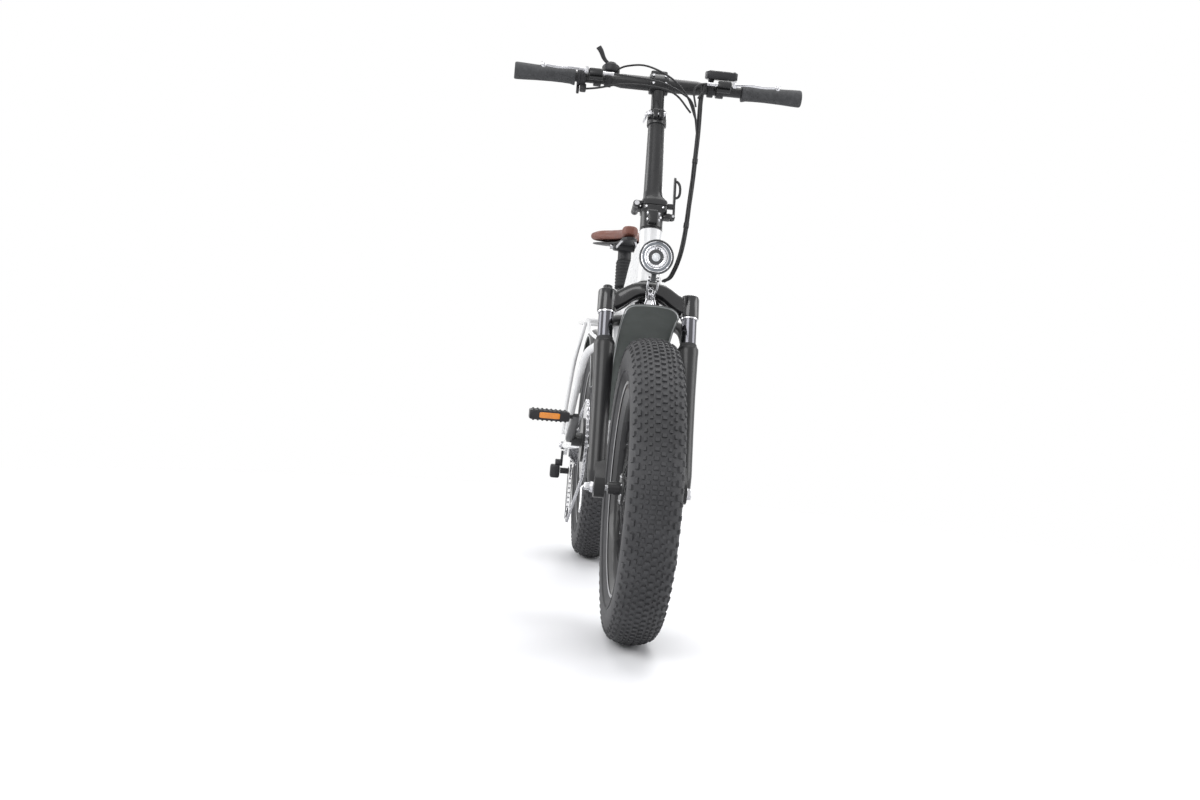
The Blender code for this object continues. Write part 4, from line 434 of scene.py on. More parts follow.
for label, hub_place, flange, flange_x, lacing, hub_line in wheels:
    body = f"{label}_wheel"
    sides = [turned(on_side(side, rim_line), hub_place, steps=128, closed=True) for side in (-1, 1)]
    hub = turned(hub_line, hub_place, steps=56, closed=True)
    index = np.arange(SPOKE_COUNT)
    side, lean = np.where(index % 2, 1, -1), np.where(index // 2 % 2, 1, -1)
    at_rim = math.tau * (index + 0.5) / SPOKE_COUNT
    at_hub = at_rim + lacing * lean
    foot = np.stack([side * flange_x, flange * np.cos(at_hub), flange * np.sin(at_hub)], 1) + hub_place
    head = np.stack([side * 0.014, (RIM_BED + 0.002) * np.cos(at_rim), (RIM_BED + 0.002) * np.sin(at_rim)],
                    1) + hub_place
    spokes = rods(foot, head, 0.0011)
    finished(f"{label}_rim_and_hub", [*sides, hub, spokes], satin_black, body, body)
    half_cell = math.pi / CUT_OUTS
    bed = drilled(CUT_OUTS, half_cell, 0.0300, 0.072, 0.0135, lambda turn, across: hub_place + np.stack(
        [across, RIM_BED * np.cos(turn + half_cell), RIM_BED * np.sin(turn + half_cell)], -1))
    finished(f"{label}_rim_bed", [bed], satin_black, body, wall=0.0018)
    strip = turned([(-0.026, 0.1905), (0, 0.1900), (0.026, 0.1905), (0.026, 0.1912), (-0.026, 0.1912)],
                   hub_place, steps=96, closed=True)
    finished(f"{label}_rim_strip", [strip], rim_strip, body)
    # Edge rings in the paler grey, a painted highlight on the black rim's edge.
    edges = [turned([(s * 0.0402, 0.2049), (s * 0.0405, 0.2030), (s * 0.0392, 0.1995), (s * 0.0388, 0.2000),
                     (s * 0.0380, 0.2049)], hub_place, steps=128, closed=True) for s in (-1, 1)]
    finished(f"{label}_rim_edges", edges, rim_edge_highlight, body)
    nipples = rods(head + (foot - head) * 0.002, head + (foot - head) * 0.080, 0.0021, 6)
    bolt_circle, bolt_face = (0.0660, 0.0374) if label == "rear" else (0.0245, 0.0372)
    cover_bolts = [turned([(0, 0), (0, 0.0024), (s * 0.0018, 0.0022), (s * 0.0018, 0)], spot, steps=8)
                   for s in (-1, 1) for spot in round_places(hub_place, bolt_circle, 8, 0.5, s * bolt_face)]
    finished(f"{label}_nipples", [nipples, *cover_bolts], bright_steel, body)

# Disc brakes: stainless rotors 160 mm across, drilled and scalloped, on five swept arms, each held by
# six bolts and straddled by a black two-piece calliper with its banjo and pad screws.
ROTOR_FACE = (("front", FRONT_AXLE, 0.054, 0.0130), ("rear", REAR_AXLE, 0.066, 0.0172))
rotor_steel = Finish("rotor_steel", roughness=0.3, metallic=1.0)
swirl = rotor_steel.noise(420.0, 3.0, 0.6)
rotor_steel.colour(rotor_steel.ramp(swirl, (0.35, (0.38, 0.38, 0.40)), (0.65, (0.60, 0.60, 0.62))))
rotor_steel.roughness(0.22 + swirl * 0.2)
rotor_steel.bump(swirl, 0.00002)


def slab(outline, low, high, across="X"):
    """A flat outline given thickness: its points at low and at high along one axis."""
    outline = np.asarray(outline, float)
    put = {"X": (2, 0, 1), "Y": (0, 2, 1), "Z": (0, 1, 2)}[across]
    layers = [np.column_stack((outline, np.full(len(outline), level)))[:, put] for level in (low, high)]
    count = len(outline)
    faces = [list(range(count))[::-1], list(range(count, 2 * count))]
    faces += [[i, (i + 1) % count, (i + 1) % count + count, i + count] for i in range(count)]
    return np.vstack(layers), faces


for label, hub_place, x, bore in ROTOR_FACE:
    def on_disc(turn, across):
        """The disc's outer face: radius 72.2 mm + across, which is scalloped fifteen times a turn."""
        radius = 0.0722 + across * (1 + 0.10 * np.sin(15 * turn))
        face = np.full(turn.shape, x + 0.0009)
        return np.stack([face, radius * np.cos(turn), radius * np.sin(turn)], -1) + hub_place

    band = drilled(30, math.pi / 30, 0.0072, 0.040, 0.0030, on_disc)
    arms = []
    for arm in range(5):
        bends = [(math.tau * arm / 5 + shift, radius)
                 for shift, radius in ((0, 0.0190), (0.14, 0.0420), (0.36, 0.0665))]
        line = smooth([(math.cos(a) * r, math.sin(a) * r) for a, r in bends], 9)
        normal = np.stack([-np.gradient(line[:, 1]), np.gradient(line[:, 0])], 1)
        normal *= 0.0032 / np.linalg.norm(normal, axis=1)[:, None]
        strip = np.vstack((line + normal, (line - normal)[::-1]))
        arms.append(slab(strip + hub_place[1:], x + 0.0009, x - 0.0009))
    carrier = turned([(x - 0.0009, bore + 0.0002), (x - 0.0009, 0.0240), (x + 0.0009, 0.0240),
                      (x + 0.0009, bore + 0.0002)], hub_place, steps=48, closed=True)
    bolts = [turned([(x + 0.0009, 0), (x + 0.0009, 0.0030), (x + 0.0026, 0.0028), (x + 0.0030, 0.0012),
                     (x + 0.0022, 0)], spot, steps=12) for spot in round_places(hub_place, 0.0205, 6)]
    finished(f"{label}_rotor_band", [band], rotor_steel, f"{label}_wheel", f"{label}_rotor",
             wall=0.0018)
    finished(f"{label}_rotor_arms", [*arms, carrier, *bolts], rotor_steel, f"{label}_wheel")


def steered(*parts):
    """Parts drawn on the steering axis, with Z up it and Y behind it, put in the bike's own frame."""
    cosine, sine = 0.942641, 0.333807
    foot = np.array((0, -0.512581, 0.274979))
    turn = np.array(((1, 0, 0), (0, cosine, sine), (0, -sine, cosine)))
    return [(np.asarray(points) @ turn.T + foot, faces) for points, faces in parts]


def pillow(size, centre=(0, 0, 0), tilt=None, edge=0.32, rows=10, columns=20):
    """A block with soft edges: half sizes times signed powers of sine and cosine of two angles, the
    power being small for a squarer block. Tilt is a 3 x 3 turn."""
    def bend(value):
        return np.sign(value) * np.abs(value) ** edge

    rise = np.linspace(-math.pi / 2, math.pi / 2, rows)[:, None]
    round_it = np.linspace(0, math.tau, columns, endpoint=False)
    grid = np.stack([bend(np.cos(rise)) * bend(np.cos(round_it)),
                     bend(np.cos(rise)) * bend(np.sin(round_it)),
                     bend(np.sin(rise)) * np.ones(columns)], -1).reshape(-1, 3) * np.asarray(size) / 2
    grid = grid @ np.asarray(tilt).T if tilt is not None else grid
    return grid + np.asarray(centre), weave(rows, columns, False, True)


calliper_black = coated("calliper_black", (0.022, 0.022, 0.024), 0.42, grain=1400.0, relief=0.00006)
front_calliper = steered(pillow((0.030, 0.026, 0.036), (0.056, 0.0083, 0.052), edge=0.35),
                         pillow((0.022, 0.012, 0.044), (0.079, 0.0013, 0.052), edge=0.3),
                         turned([(0.040, 0), (0.040, 0.0088), (0.043, 0.0095), (0.069, 0.0095),
                                 (0.072, 0.0088), (0.072, 0)], (0, 0.011, 0.052), (1, 0, 0), 28),
                         turned([(0, 0.0048), (0.012, 0.0044), (0.016, 0.0028), (0.016, 0)],
                                (0.060, 0.016, 0.066), (0.2, 0.5, 1), 14))
finished("front_calliper_body", front_calliper, calliper_black, "fork_lowers",
         "front_caliper")
rear_calliper = [pillow((0.030, 0.032, 0.036), (0.068, 0.481, 0.3272), edge=0.35),
                 pillow((0.042, 0.022, 0.010), (0.078, 0.481, 0.3140), edge=0.3),
                 turned([(0.052, 0), (0.052, 0.0088), (0.055, 0.0095), (0.083, 0.0095), (0.086, 0.0088),
                         (0.086, 0)], (0, 0.481, 0.331), (1, 0, 0), 28)]
finished("rear_calliper_body", rear_calliper, calliper_black, "rear_frame", "rear_caliper")

# Fork lowers: cast magnesium in satin black, each leg swelling to a shoulder that flares into the
# arch behind the tyre, with rubber dust seals. The hub's axle is clamped by a quick release lever.
LEG_X, LEG_Y, AXLE_Y = 0.083, -0.025, -0.045


def along(path, up=None, closed=False):
    """Side and top directions square to a path's tangent. Where no up is given, they are carried
    from point to point without twist."""
    path = np.asarray(path, float)
    chord = np.roll(path, -1, 0) - np.roll(path, 1, 0) if closed else np.gradient(path, axis=0)
    tangent = chord / np.linalg.norm(chord, axis=1)[:, None]
    if up is not None:
        side = np.cross(tangent, up)
    else:
        side = [square_to(tangent[0])[1]]
        for way in tangent[1:]:
            carried = side[-1] - way * (side[-1] @ way)
            side.append(carried / np.linalg.norm(carried))
        side = np.array(side)
    side = side / np.linalg.norm(side, axis=1)[:, None]
    return side, np.cross(side, tangent)


def swept(path, section, scale=1.0, up=None, closed=False):
    """A closed section of (side, top) points carried along a path: path point + scale * (side * its
    side direction + top * its top direction), with flat ends."""
    path, section = np.asarray(path, float), np.asarray(section, float)
    side, top = along(path, up, closed)
    scale = np.asarray(scale, float)
    scale = np.broadcast_to(scale.reshape(-1, 1) if scale.ndim == 1 else scale, (len(path), 2))
    points = path[:, None] + side[:, None] * (scale[:, :1] * section[:, 0])[..., None]
    points = points + top[:, None] * (scale[:, 1:] * section[:, 1])[..., None]
    count = len(section)
    faces = weave(len(path), count, closed, True)
    if not closed:
        faces += [list(range(count))[::-1], list(range((len(path) - 1) * count, len(path) * count))]
    return points.reshape(-1, 3), faces


def oval(half_width, half_height, count=24, edge=1.0):
    """A closed section: half width * signed power of cos a, half height * signed power of sin a."""
    angle = np.linspace(0, math.tau, count, endpoint=False)
    return np.stack([half_width * np.sign(np.cos(angle)) * np.abs(np.cos(angle)) ** edge,
                     half_height * np.sign(np.sin(angle)) * np.abs(np.sin(angle)) ** edge], 1)


def tube(path, radius, sides=12, closed=False):
    """A round tube of one radius, or of one for each point of its path."""
    return swept(path, oval(1, 1, sides), radius, closed=closed)


leg_line = [(0.010, 0), (0.010, 0.0130), (0.015, 0.0160), (0.040, 0.0176), (0.120, 0.0176), (0.200, 0.0182),
            (0.245, 0.0192), (0.276, 0.0200), (0.286, 0.0204), (0.290, 0.0208), (0.297, 0.0208),
            (0.300, 0.0196), (0.300, 0.0160), (0.292, 0.0155)]
dropout_line = smooth([(-0.060, -0.010), (-0.052, -0.0185), (-0.036, -0.0175), (-0.022, 0.006),
                       (-0.0145, 0.034), (-0.016, 0.060), (-0.036, 0.060), (-0.050, 0.034), (-0.062, 0.010),
                       (-0.060, -0.010)], 40)[:-1]
legs = []
for side in (-1, 1):
    legs += [turned(leg_line, (side * LEG_X, LEG_Y, 0), (0, 0, 1), 48),
             slab(dropout_line, side * 0.0682, side * 0.0885),
             turned([(side * 0.0678, 0.0068), (side * 0.0678, 0.0135), (side * 0.0886, 0.0135),
                     (side * 0.0892, 0.0120),
                     (side * 0.0892, 0.0068)], (0, AXLE_Y, 0), steps=32, closed=True)]
half_arch = [(LEG_X, LEG_Y + 0.004, 0.250), (LEG_X + 0.001, LEG_Y + 0.012, 0.290),
             (LEG_X - 0.001, 0.003, 0.326), (LEG_X - 0.008, 0.022, 0.354), (LEG_X - 0.026, 0.036, 0.369),
             (0.030, 0.040, 0.374), (0, 0.041, 0.3745)]
arch_path = smooth(half_arch + [(-x, y, z) for x, y, z in half_arch[-2::-1]], 61)
thickness = np.interp(np.linspace(0, 1, 61), (0, 0.14, 0.30, 0.5, 0.70, 0.86, 1),
                      (0.012, 0.0130, 0.0118, 0.0102, 0.0118, 0.0130, 0.012))
arch = swept(arch_path, oval(1, 1, 20, 0.7), np.stack([thickness * 0.75, thickness * 1.05], 1),
             up=(0, 0.5, 0.9))
finished("fork_lowers_casting", steered(*legs, arch), satin_black, "fork_lowers",
         "fork_lowers", bevel=0.0008)
seal_rubber = coated("seal_rubber", (0.030, 0.030, 0.031), 0.7, grain=1800.0)
seals = [turned([(0.298, 0.0152), (0.298, 0.0180), (0.3025, 0.0182), (0.3045, 0.0168), (0.3075, 0.0166),
                 (0.3085, 0.0154)], (side * LEG_X, LEG_Y, 0), (0, 0, 1), 40, True) for side in (-1, 1)]
finished("dust_seals", steered(*seals), seal_rubber, "fork_lowers")


def hex_nut(start, way, radius, height):
    """A six-sided nut or bolt head standing from start along way, with a chamfered top."""
    return turned([(0, 0), (0, radius), (0.82 * height, radius), (height, 0.86 * radius), (height, 0)],
                  start, way, 6)


axle = [turned([(-0.0935, 0), (-0.0935, 0.0058), (0.0965, 0.0058), (0.0965, 0)], (0, AXLE_Y, 0), steps=24),
        hex_nut((0.0895, AXLE_Y, 0), (1, 0, 0), 0.0110, 0.0080),
        turned([(0.0892, 0), (0.0892, 0.0125), (0.0905, 0.0125), (0.0905, 0)], (0, AXLE_Y, 0), steps=28),
        turned([(-0.0893, 0), (-0.0893, 0.0105), (-0.0925, 0.0110), (-0.0960, 0.0095), (-0.0968, 0)],
               (0, AXLE_Y, 0), steps=28)]
axle += [pillow((0.0140, 0.0032, 0.0115), (-0.1003, AXLE_Y + s * 0.0065, 0), edge=0.4) for s in (-1, 1)]
finished("front_axle_skewer", steered(*axle), bright_steel, "fork_lowers", "front_axle")
polished = coated("polished_alloy", (0.60, 0.60, 0.62), 0.17, metallic=1.0, drift=0.08, grain=1200.0,
                  relief=0.00001)


def quick_lever(pivot, hinge, out, onward, reach):
    """A release lever: a round cam on its hinge, and a flat blade that leaves it outwards, then runs
    onward, broad and thin at its tip."""
    pivot, hinge, out, onward = (np.asarray(v, float) for v in (pivot, hinge, out, onward))
    path = smooth([pivot + 0.001 * out, pivot + 0.0065 * out + 0.001 * onward,
                   pivot + 0.0090 * out + 0.007 * onward, pivot + 0.0090 * out + 0.55 * reach * onward,
                   pivot + 0.0105 * out + (reach - 0.001) * onward], 24)
    share = np.linspace(0, 1, 24)
    width = np.interp(share, (0, 0.2, 0.6, 0.92, 1), (0.0034, 0.0034, 0.0042, 0.0050, 0.0036))
    depth = np.interp(share, (0, 0.2, 1), (0.0032, 0.0026, 0.0018))
    blade = swept(path, oval(1, 1, 16, 0.75), np.stack([depth, width], 1), up=hinge)
    barrel = turned([(-0.0044, 0), (-0.0044, 0.0044), (0.0044, 0.0044), (0.0044, 0)], pivot, hinge, 24)
    return [blade, barrel]


finished("front_release_lever",
         steered(*quick_lever((-0.1018, AXLE_Y, 0), (0, 1, 0), (-1, 0, 0), (0, 0, -1), 0.052)), polished,
         "front_lever", "front_lever", bevel=0.0004)

# Fork crown: forged alloy in gloss black, arched between two clamps that hold the dark stanchions,
# a thin bright ring under each, with the lockout knob on top of the right one. Pressed on its steerer.
crown_black = coated("gloss_black_lacquer", (0.012, 0.012, 0.013), 0.22, coat=0.6, relief=0.00001)
stanchion_dark = coated("dark_hard_chrome", (0.10, 0.10, 0.11), 0.12, metallic=1.0, drift=0.1,
                        relief=0.000005)
x = np.linspace(-0.078, 0.078, 45)
over = np.interp(np.abs(x), (0, 0.024, 0.036, 0.052, 0.078), (0.4295, 0.4290, 0.4230, 0.4110, 0.4040))
under = np.interp(np.abs(x), (0, 0.018, 0.034, 0.050, 0.064, 0.078),
                  (0.4000, 0.3985, 0.3925, 0.3800, 0.3700, 0.3640))
kernel = np.hanning(9) / np.hanning(9).sum()
over[4:-4], under[4:-4] = (np.convolve(line, kernel, "valid") for line in (over, under))
half_deep = np.interp(np.abs(x), (0, 0.030, 0.060, 0.078), (0.0245, 0.0200, 0.0160, 0.0165))
bridge = swept(np.stack([x, np.full(45, -0.020), (over + under) / 2], 1), oval(1, 1, 24, 0.5),
               np.stack([half_deep, (over - under) / 2], 1), up=(0, 0, 1))
crown_parts = [bridge, turned([(0.3965, 0.0150), (0.3965, 0.0250), (0.4000, 0.0262), (0.4260, 0.0262),
                               (0.4300, 0.0245), (0.4300, 0.0150)], (0, 0, 0), (0, 0, 1), 48, True)]
for side in (-1, 1):
    crown_parts.append(turned([(0.3620, 0.0153), (0.3620, 0.0178), (0.3640, 0.0186), (0.4030, 0.0186),
                               (0.4070, 0.0176), (0.4080, 0.0160), (0.4080, 0.0120), (0.4065, 0.0115),
                               (0.4065, 0)], (side * LEG_X, LEG_Y, 0), (0, 0, 1), 48))
    crown_parts.append(turned([(0, 0), (0, 0.0042), (0.0050, 0.0042), (0.0062, 0.0034), (0.0062, 0.0020),
                               (0.0040, 0.0018), (0.0040, 0)],
                              (side * (LEG_X - 0.012), LEG_Y + 0.014, 0.4030), (0, 0, 1), 16))
finished("fork_crown_forging", steered(*crown_parts), crown_black, "steering", "fork_crown",
         bevel=0.0006)
stanchion_line = [(0.202, 0), (0.202, 0.0150), (0.3625, 0.0150), (0.3625, 0)]
stanchions = [turned(stanchion_line, (side * LEG_X, LEG_Y, 0), (0, 0, 1), 48) for side in (-1, 1)]
steerer = turned([(0.400, 0), (0.400, 0.0142), (0.594, 0.0142), (0.594, 0)], (0, 0, 0), (0, 0, 1), 32)
finished("fork_stanchions", steered(*stanchions, steerer), stanchion_dark, "steering")
rings = [turned([(0.3590, 0.0151), (0.3590, 0.0168), (0.3622, 0.0172), (0.3622, 0.0151)],
                (side * LEG_X, LEG_Y, 0), (0, 0, 1), 40, True) for side in (-1, 1)]
finished("stanchion_rings", steered(*rings), polished, "steering")
KNOB_STEPS, RIDGES = 48, 12
knob_angle = np.linspace(0, math.tau, KNOB_STEPS, endpoint=False)
knurl = 1 + 0.05 * np.sign(np.sin(RIDGES * knob_angle))
knob_rows = ((0.4062, 0.0085, 1), (0.4100, 0.0090, 1), (0.4110, 0.0092, knurl), (0.4165, 0.0090, knurl),
             (0.4180, 0.0078, 1), (0.4180, 0.0010, 1))
knob_rings = [np.stack([r * ridge * np.cos(knob_angle) - LEG_X, r * ridge * np.sin(knob_angle) + LEG_Y,
                        np.full(KNOB_STEPS, z)], 1) for z, r, ridge in knob_rows]
knob_faces = weave(len(knob_rows), KNOB_STEPS, False, True)
top_start = (len(knob_rows) - 1) * KNOB_STEPS
knob_faces += [list(range(KNOB_STEPS))[::-1], list(range(top_start, top_start + KNOB_STEPS))]
finished("lockout_knob", steered((np.vstack(knob_rings), knob_faces)), satin_black, "steering",
         bevel=0.0003)

# Mudguards: thin moulded sheets over both tyres, satin black outside, grey-green inside, with a rolled
# lip whose pale grey is a painted highlight. The front one hangs under the crown and turns with it; the
# rear one is on the rack.
guard_black = coated("guard_black", (0.030, 0.030, 0.031), 0.38, grain=1300.0)
guard_inside = coated("guard_inside_grey", (0.115, 0.130, 0.120), 0.5, grain=1300.0)
# The lip's pale grey is a painted highlight: light caught on the rolled edge of a black guard.
guard_lip_highlight = coated("guard_lip_painted_highlight", (0.62, 0.63, 0.63), 0.35)
GUARD_POINTS, GUARD_STEPS = 17, 44
GUARD_LINE = smooth([(-0.0545, -0.0215), (-0.050, -0.0110), (-0.036, -0.0030), (0, -0.0003),
                     (0.036, -0.0030), (0.050, -0.0110), (0.0545, -0.0215)], GUARD_POINTS)


def guard_sheet(radius, start, end, high, low, place):
    """A sheet round a wheel: its outer line is the guard line + high, its inner one the same + low,
    at every angle; place maps (x, radius, angle) to space."""
    angle = np.radians(np.linspace(start, end, GUARD_STEPS))[:, None]
    line = np.vstack((GUARD_LINE + (0, high), (GUARD_LINE * (0.975, 1) + (0, low))[::-1]))
    x, lift = np.broadcast_to(line[:, 0], (GUARD_STEPS, len(line))), line[None, :, 1]
    faces = weave(GUARD_STEPS, len(line), False, True)
    for first in (0, (GUARD_STEPS - 1) * len(line)):
        last = first + len(line) - 1
        faces += [[first + i, first + i + 1, last - 1 - i, last - i] for i in range(GUARD_POINTS - 1)]
    return place(x, radius + lift, angle).reshape(-1, 3), faces


def front_place(x, radius, angle):
    """On the steering axis's frame: behind the axle by -radius * cos a and up by radius * sin a."""
    return np.stack([x, AXLE_Y - radius * np.cos(angle), radius * np.sin(angle)], -1)


def rear_place(x, radius, angle):
    """The same about the rear axle, in the bike's frame."""
    return np.stack([x, -radius * np.cos(angle), radius * np.sin(angle)], -1) + REAR_AXLE


for label, body, radius, start, end, place in (("front", "steering", 0.362, 82, 142, front_place),
                                               ("rear", "rear_frame", 0.318, 34, 154, rear_place)):
    sheets = [guard_sheet(radius, start, end, high, low, place)
              for high, low in ((0, -0.0012), (-0.0013, -0.0025))]
    lips = []
    angles = np.radians(np.linspace(start + 0.3, end - 0.3, GUARD_STEPS))
    for side in (-1, 1):
        edge = place(np.full(GUARD_STEPS, side * 0.0530), np.full(GUARD_STEPS, radius - 0.0215), angles)
        lips.append(tube(edge, 0.0019, 8))
    front_edge = place(GUARD_LINE[:, 0] * 0.97, radius - 0.0012 + GUARD_LINE[:, 1],
                       np.full(GUARD_POINTS, angles[0]))
    lips.append(tube(front_edge, 0.0019, 8))
    if label == "front":
        sheets, lips = steered(*sheets), steered(*lips)
    finished(f"{label}_mudguard_skin", sheets[:1], guard_black, body, f"{label}_mudguard")
    finished(f"{label}_mudguard_lining", sheets[1:], guard_inside, body)
    finished(f"{label}_mudguard_lip", lips, guard_lip_highlight, body)

# Headlight: a round lamp 68 mm across in a dark grey shell, with a bright ring, a dark one, a fluted
# reflector and a small lens at its centre. It tilts on a rod held by two looped chrome wires.
LAMP_CENTRE, LAMP_PIVOT = np.array((0, -0.459223, 0.737275)), np.array((0, -0.459223, 0.695275))
lamp_grey = coated("lamp_shell_grey", (0.045, 0.048, 0.052), 0.35, coat=0.3)
lamp_ring = coated("lamp_ring_grey", (0.20, 0.215, 0.235), 0.3, metallic=0.6)
chrome = coated("chrome", (0.80, 0.80, 0.82), 0.07, metallic=1.0, drift=0.04, relief=0.000005)
lens_white = coated("lens_frosted", (0.72, 0.74, 0.76), 0.12, coat=1.0)
lamp_back = turned([(0.0160, 0), (0.0160, 0.0080), (0.0110, 0.0195), (0.0040, 0.0275), (-0.0040, 0.0325),
                    (-0.0190, 0.0338), (-0.0225, 0.0340), (-0.0238, 0.0334), (-0.0240, 0.0322),
                    (-0.0228, 0.0312), (-0.0195, 0.0310), (-0.0150, 0.0290), (-0.0120, 0)],
                   LAMP_CENTRE, (0, 1, 0), 64)
lug = pillow((0.0100, 0.0120, 0.0180), LAMP_PIVOT + (0, 0, 0.004), edge=0.4)
finished("headlight_shell", [lamp_back, lug], lamp_grey, "headlight", "headlight")
lamp_steps = [((-0.0196, 0.0310), (-0.0226, 0.0305), (-0.0232, 0.0295), (-0.0226, 0.0286),
               (-0.0200, 0.0282)),
              ((-0.0200, 0.0239), (-0.0214, 0.0234), (-0.0218, 0.0226), (-0.0212, 0.0218),
               (-0.0190, 0.0214))]
finished("headlight_rings", [turned(line, LAMP_CENTRE, (0, 1, 0), 64) for line in lamp_steps], chrome,
         "headlight")
bezel = turned([(-0.0202, 0.0283), (-0.0208, 0.0262), (-0.0202, 0.0238)], LAMP_CENTRE, (0, 1, 0), 64)
finished("headlight_bezel", [bezel], lamp_ring, "headlight")
flute = np.linspace(0, math.tau, 96, endpoint=False)
bowl = []
for depth, radius in ((-0.0192, 0.0215), (-0.0170, 0.0205), (-0.0145, 0.0170), (-0.0122, 0.0125),
                      (-0.0108, 0.0075)):
    wave = radius * (1 + 0.022 * np.cos(24 * flute))
    bowl.append(np.stack([wave * np.cos(flute), np.full(96, depth), wave * np.sin(flute)], 1) + LAMP_CENTRE)
finished("headlight_reflector", [(np.vstack(bowl), weave(5, 96, False, True) + [list(range(384, 480))])],
         chrome, "headlight")
eye = [(-0.0100, 0.0080), (-0.0145, 0.0082), (-0.0152, 0.0068), (-0.0140, 0.0062), (-0.0160, 0.0048),
       (-0.0172, 0.0024), (-0.0175, 0)]
finished("headlight_lens", [turned(eye, LAMP_CENTRE, (0, 1, 0), 40)], lens_white, "headlight")

tab = slab(oval(0.0088, 0.0262, 32, 0.55) + (0, 0.3888), -0.0453, -0.0413, "Y")
wires, eyelets = [], []
for side in (-1, 1):
    run = [(0.0050, -0.0462, 0.366), (0.0098, -0.0512, 0.3745), (0.0062, -0.0600, 0.388),
           (0.0098, -0.0750, 0.401), (0.0086, -0.0900, 0.414)]
    wires.append(tube(smooth([(side * a, b, c) for a, b, c in run], 30), 0.0023, 10))
    eyelets.append(turned([(-0.0022, 0.0028), (-0.0022, 0.0052), (0.0022, 0.0052), (0.0022, 0.0028)],
                          (side * 0.0088, -0.090, 0.414), (1, 0, 0), 20, True))
rod = turned([(-0.0112, 0), (-0.0112, 0.0027), (0.0112, 0.0027), (0.0112, 0)], (0, -0.090, 0.414),
             (1, 0, 0), 16)
bolt = hex_nut((0, -0.0453, 0.405), (0, -1, 0), 0.0060, 0.0040)
finished("lamp_bracket_wires", steered(tab, *wires, *eyelets, rod, bolt), chrome, "steering",
         "lamp_bracket", bevel=0.0004)

# Front frame: a flared head tube and the front half of the main tube, welded up in aluminium with
# white gloss paint, ending at a thick fold plate with two knuckles. Black headset cups are pressed in.
white_gloss = coated("white_gloss_paint", (0.72, 0.72, 0.72), 0.28, coat=0.6, drift=0.02, grain=600.0,
                     relief=0.00002)
FOLD_Y, FOLD_Z, TUBE_SLOPE, FOLD_X = -0.085, 0.61645, -0.47714, 0.052


def main_tube(rows):
    """The main tube's skin: each row is (y, half width, lean, size); a point of its rounded oblong
    section at height dz is put at y + lean * dz, on the tube's sloping middle line."""
    section = oval(1, 1, 40, 0.42) * (1, 0.0475 * 1.108)
    points = []
    for y, half, lean, size in rows:
        rise = section[:, 1] * size
        points.append(np.stack([section[:, 0] * half, y + lean * rise,
                                FOLD_Z + TUBE_SLOPE * (y - FOLD_Y) + rise], 1))
    faces = weave(len(rows), 40, False, True)
    faces += [list(range(40))[::-1], list(range(len(rows) * 40 - 40, len(rows) * 40))]
    return np.vstack(points), faces


def bead(row):
    """The weld round one row of the main tube, as a rippled thin tube on its outline."""
    ring = main_tube([row])[0]
    return tube(smooth(np.vstack((ring, ring[:1])), 97)[:-1],
                0.0019 + 0.0004 * np.sin(np.arange(96) * 1.57), 8, closed=True)


def knuckle(low, high, side):
    """A barrel on the fold's pin, with the web that ties it to its plate."""
    barrel = turned([(low, 0.0043), (low, 0.0088), (low + 0.0008, 0.0095), (high - 0.0008, 0.0095),
                     (high, 0.0088), (high, 0.0043)], (FOLD_X, FOLD_Y, FOLD_Z), (0, 0, 1), 28, True)
    web = pillow((0.0180, 0.0074, high - low - 0.0012),
                 (0.0430, FOLD_Y + side * 0.0042, FOLD_Z + (low + high) / 2), edge=0.2)
    return [barrel, web]


head_line = [(0.4310, 0.0150), (0.4372, 0.0254), (0.4440, 0.0255), (0.4560, 0.0243), (0.4800, 0.0232),
             (0.5250, 0.0228), (0.5400, 0.0233), (0.5500, 0.0238), (0.5532, 0.0238), (0.5535, 0.0150)]
head_tube = steered(turned(head_line, (0, 0, 0), (0, 0, 1), 56, True))
front_rows = [(-0.3420, 0.0170, 0.354, 0.90), (-0.3320, 0.0215, 0.33, 0.96), (-0.3150, 0.0262, 0.28, 1.0),
              (-0.2850, 0.0305, 0.20, 1.0), (-0.2500, 0.0322, 0.12, 1.0), (-0.1900, 0.0325, 0.03, 1.0),
              (-0.0960, 0.0325, 0, 1.0)]
plate_line = oval(0.0400, 0.0620, 44, 0.38) + (0, FOLD_Z)
ears = [pillow((0.0180, 0.0112, 0.0040), (-0.0450, FOLD_Y - 0.0065, FOLD_Z + s * 0.0178), edge=0.25)
        for s in (-1, 1)]
finished("front_frame_paint", [*head_tube, main_tube(front_rows), slab(plate_line, -0.0973, -0.0853, "Y"),
                               bead((-0.0985, 0.0328, 0, 1.01)), *knuckle(0.0226, 0.0533, -1),
                               *knuckle(-0.0533, -0.0226, -1), *ears],
         white_gloss, "front_frame", "front_frame", bevel=0.0007)
cups = [turned([(0.4304, 0.0150), (0.4304, 0.0240), (0.4325, 0.0254), (0.4369, 0.0254), (0.4369, 0.0150)],
               (0, 0, 0), (0, 0, 1), 56, True),
        turned([(0.5537, 0.0150), (0.5537, 0.0236), (0.5560, 0.0236), (0.5579, 0.0226),
                (0.5579, 0.0150)], (0, 0, 0), (0, 0, 1), 56, True)]
finished("headset_cups", steered(*cups), satin_black, "front_frame")


def dress(name, finish):
    """Gives a CAD node that stays as it is a better material."""
    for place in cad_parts[name].material_slots:
        place.material = finish


battery_shell = coated("battery_shell", (0.035, 0.035, 0.036), 0.5, grain=1500.0, relief=0.0001)
dress("battery_pack", battery_shell.material)
dress("fold_pin", bright_steel.material)

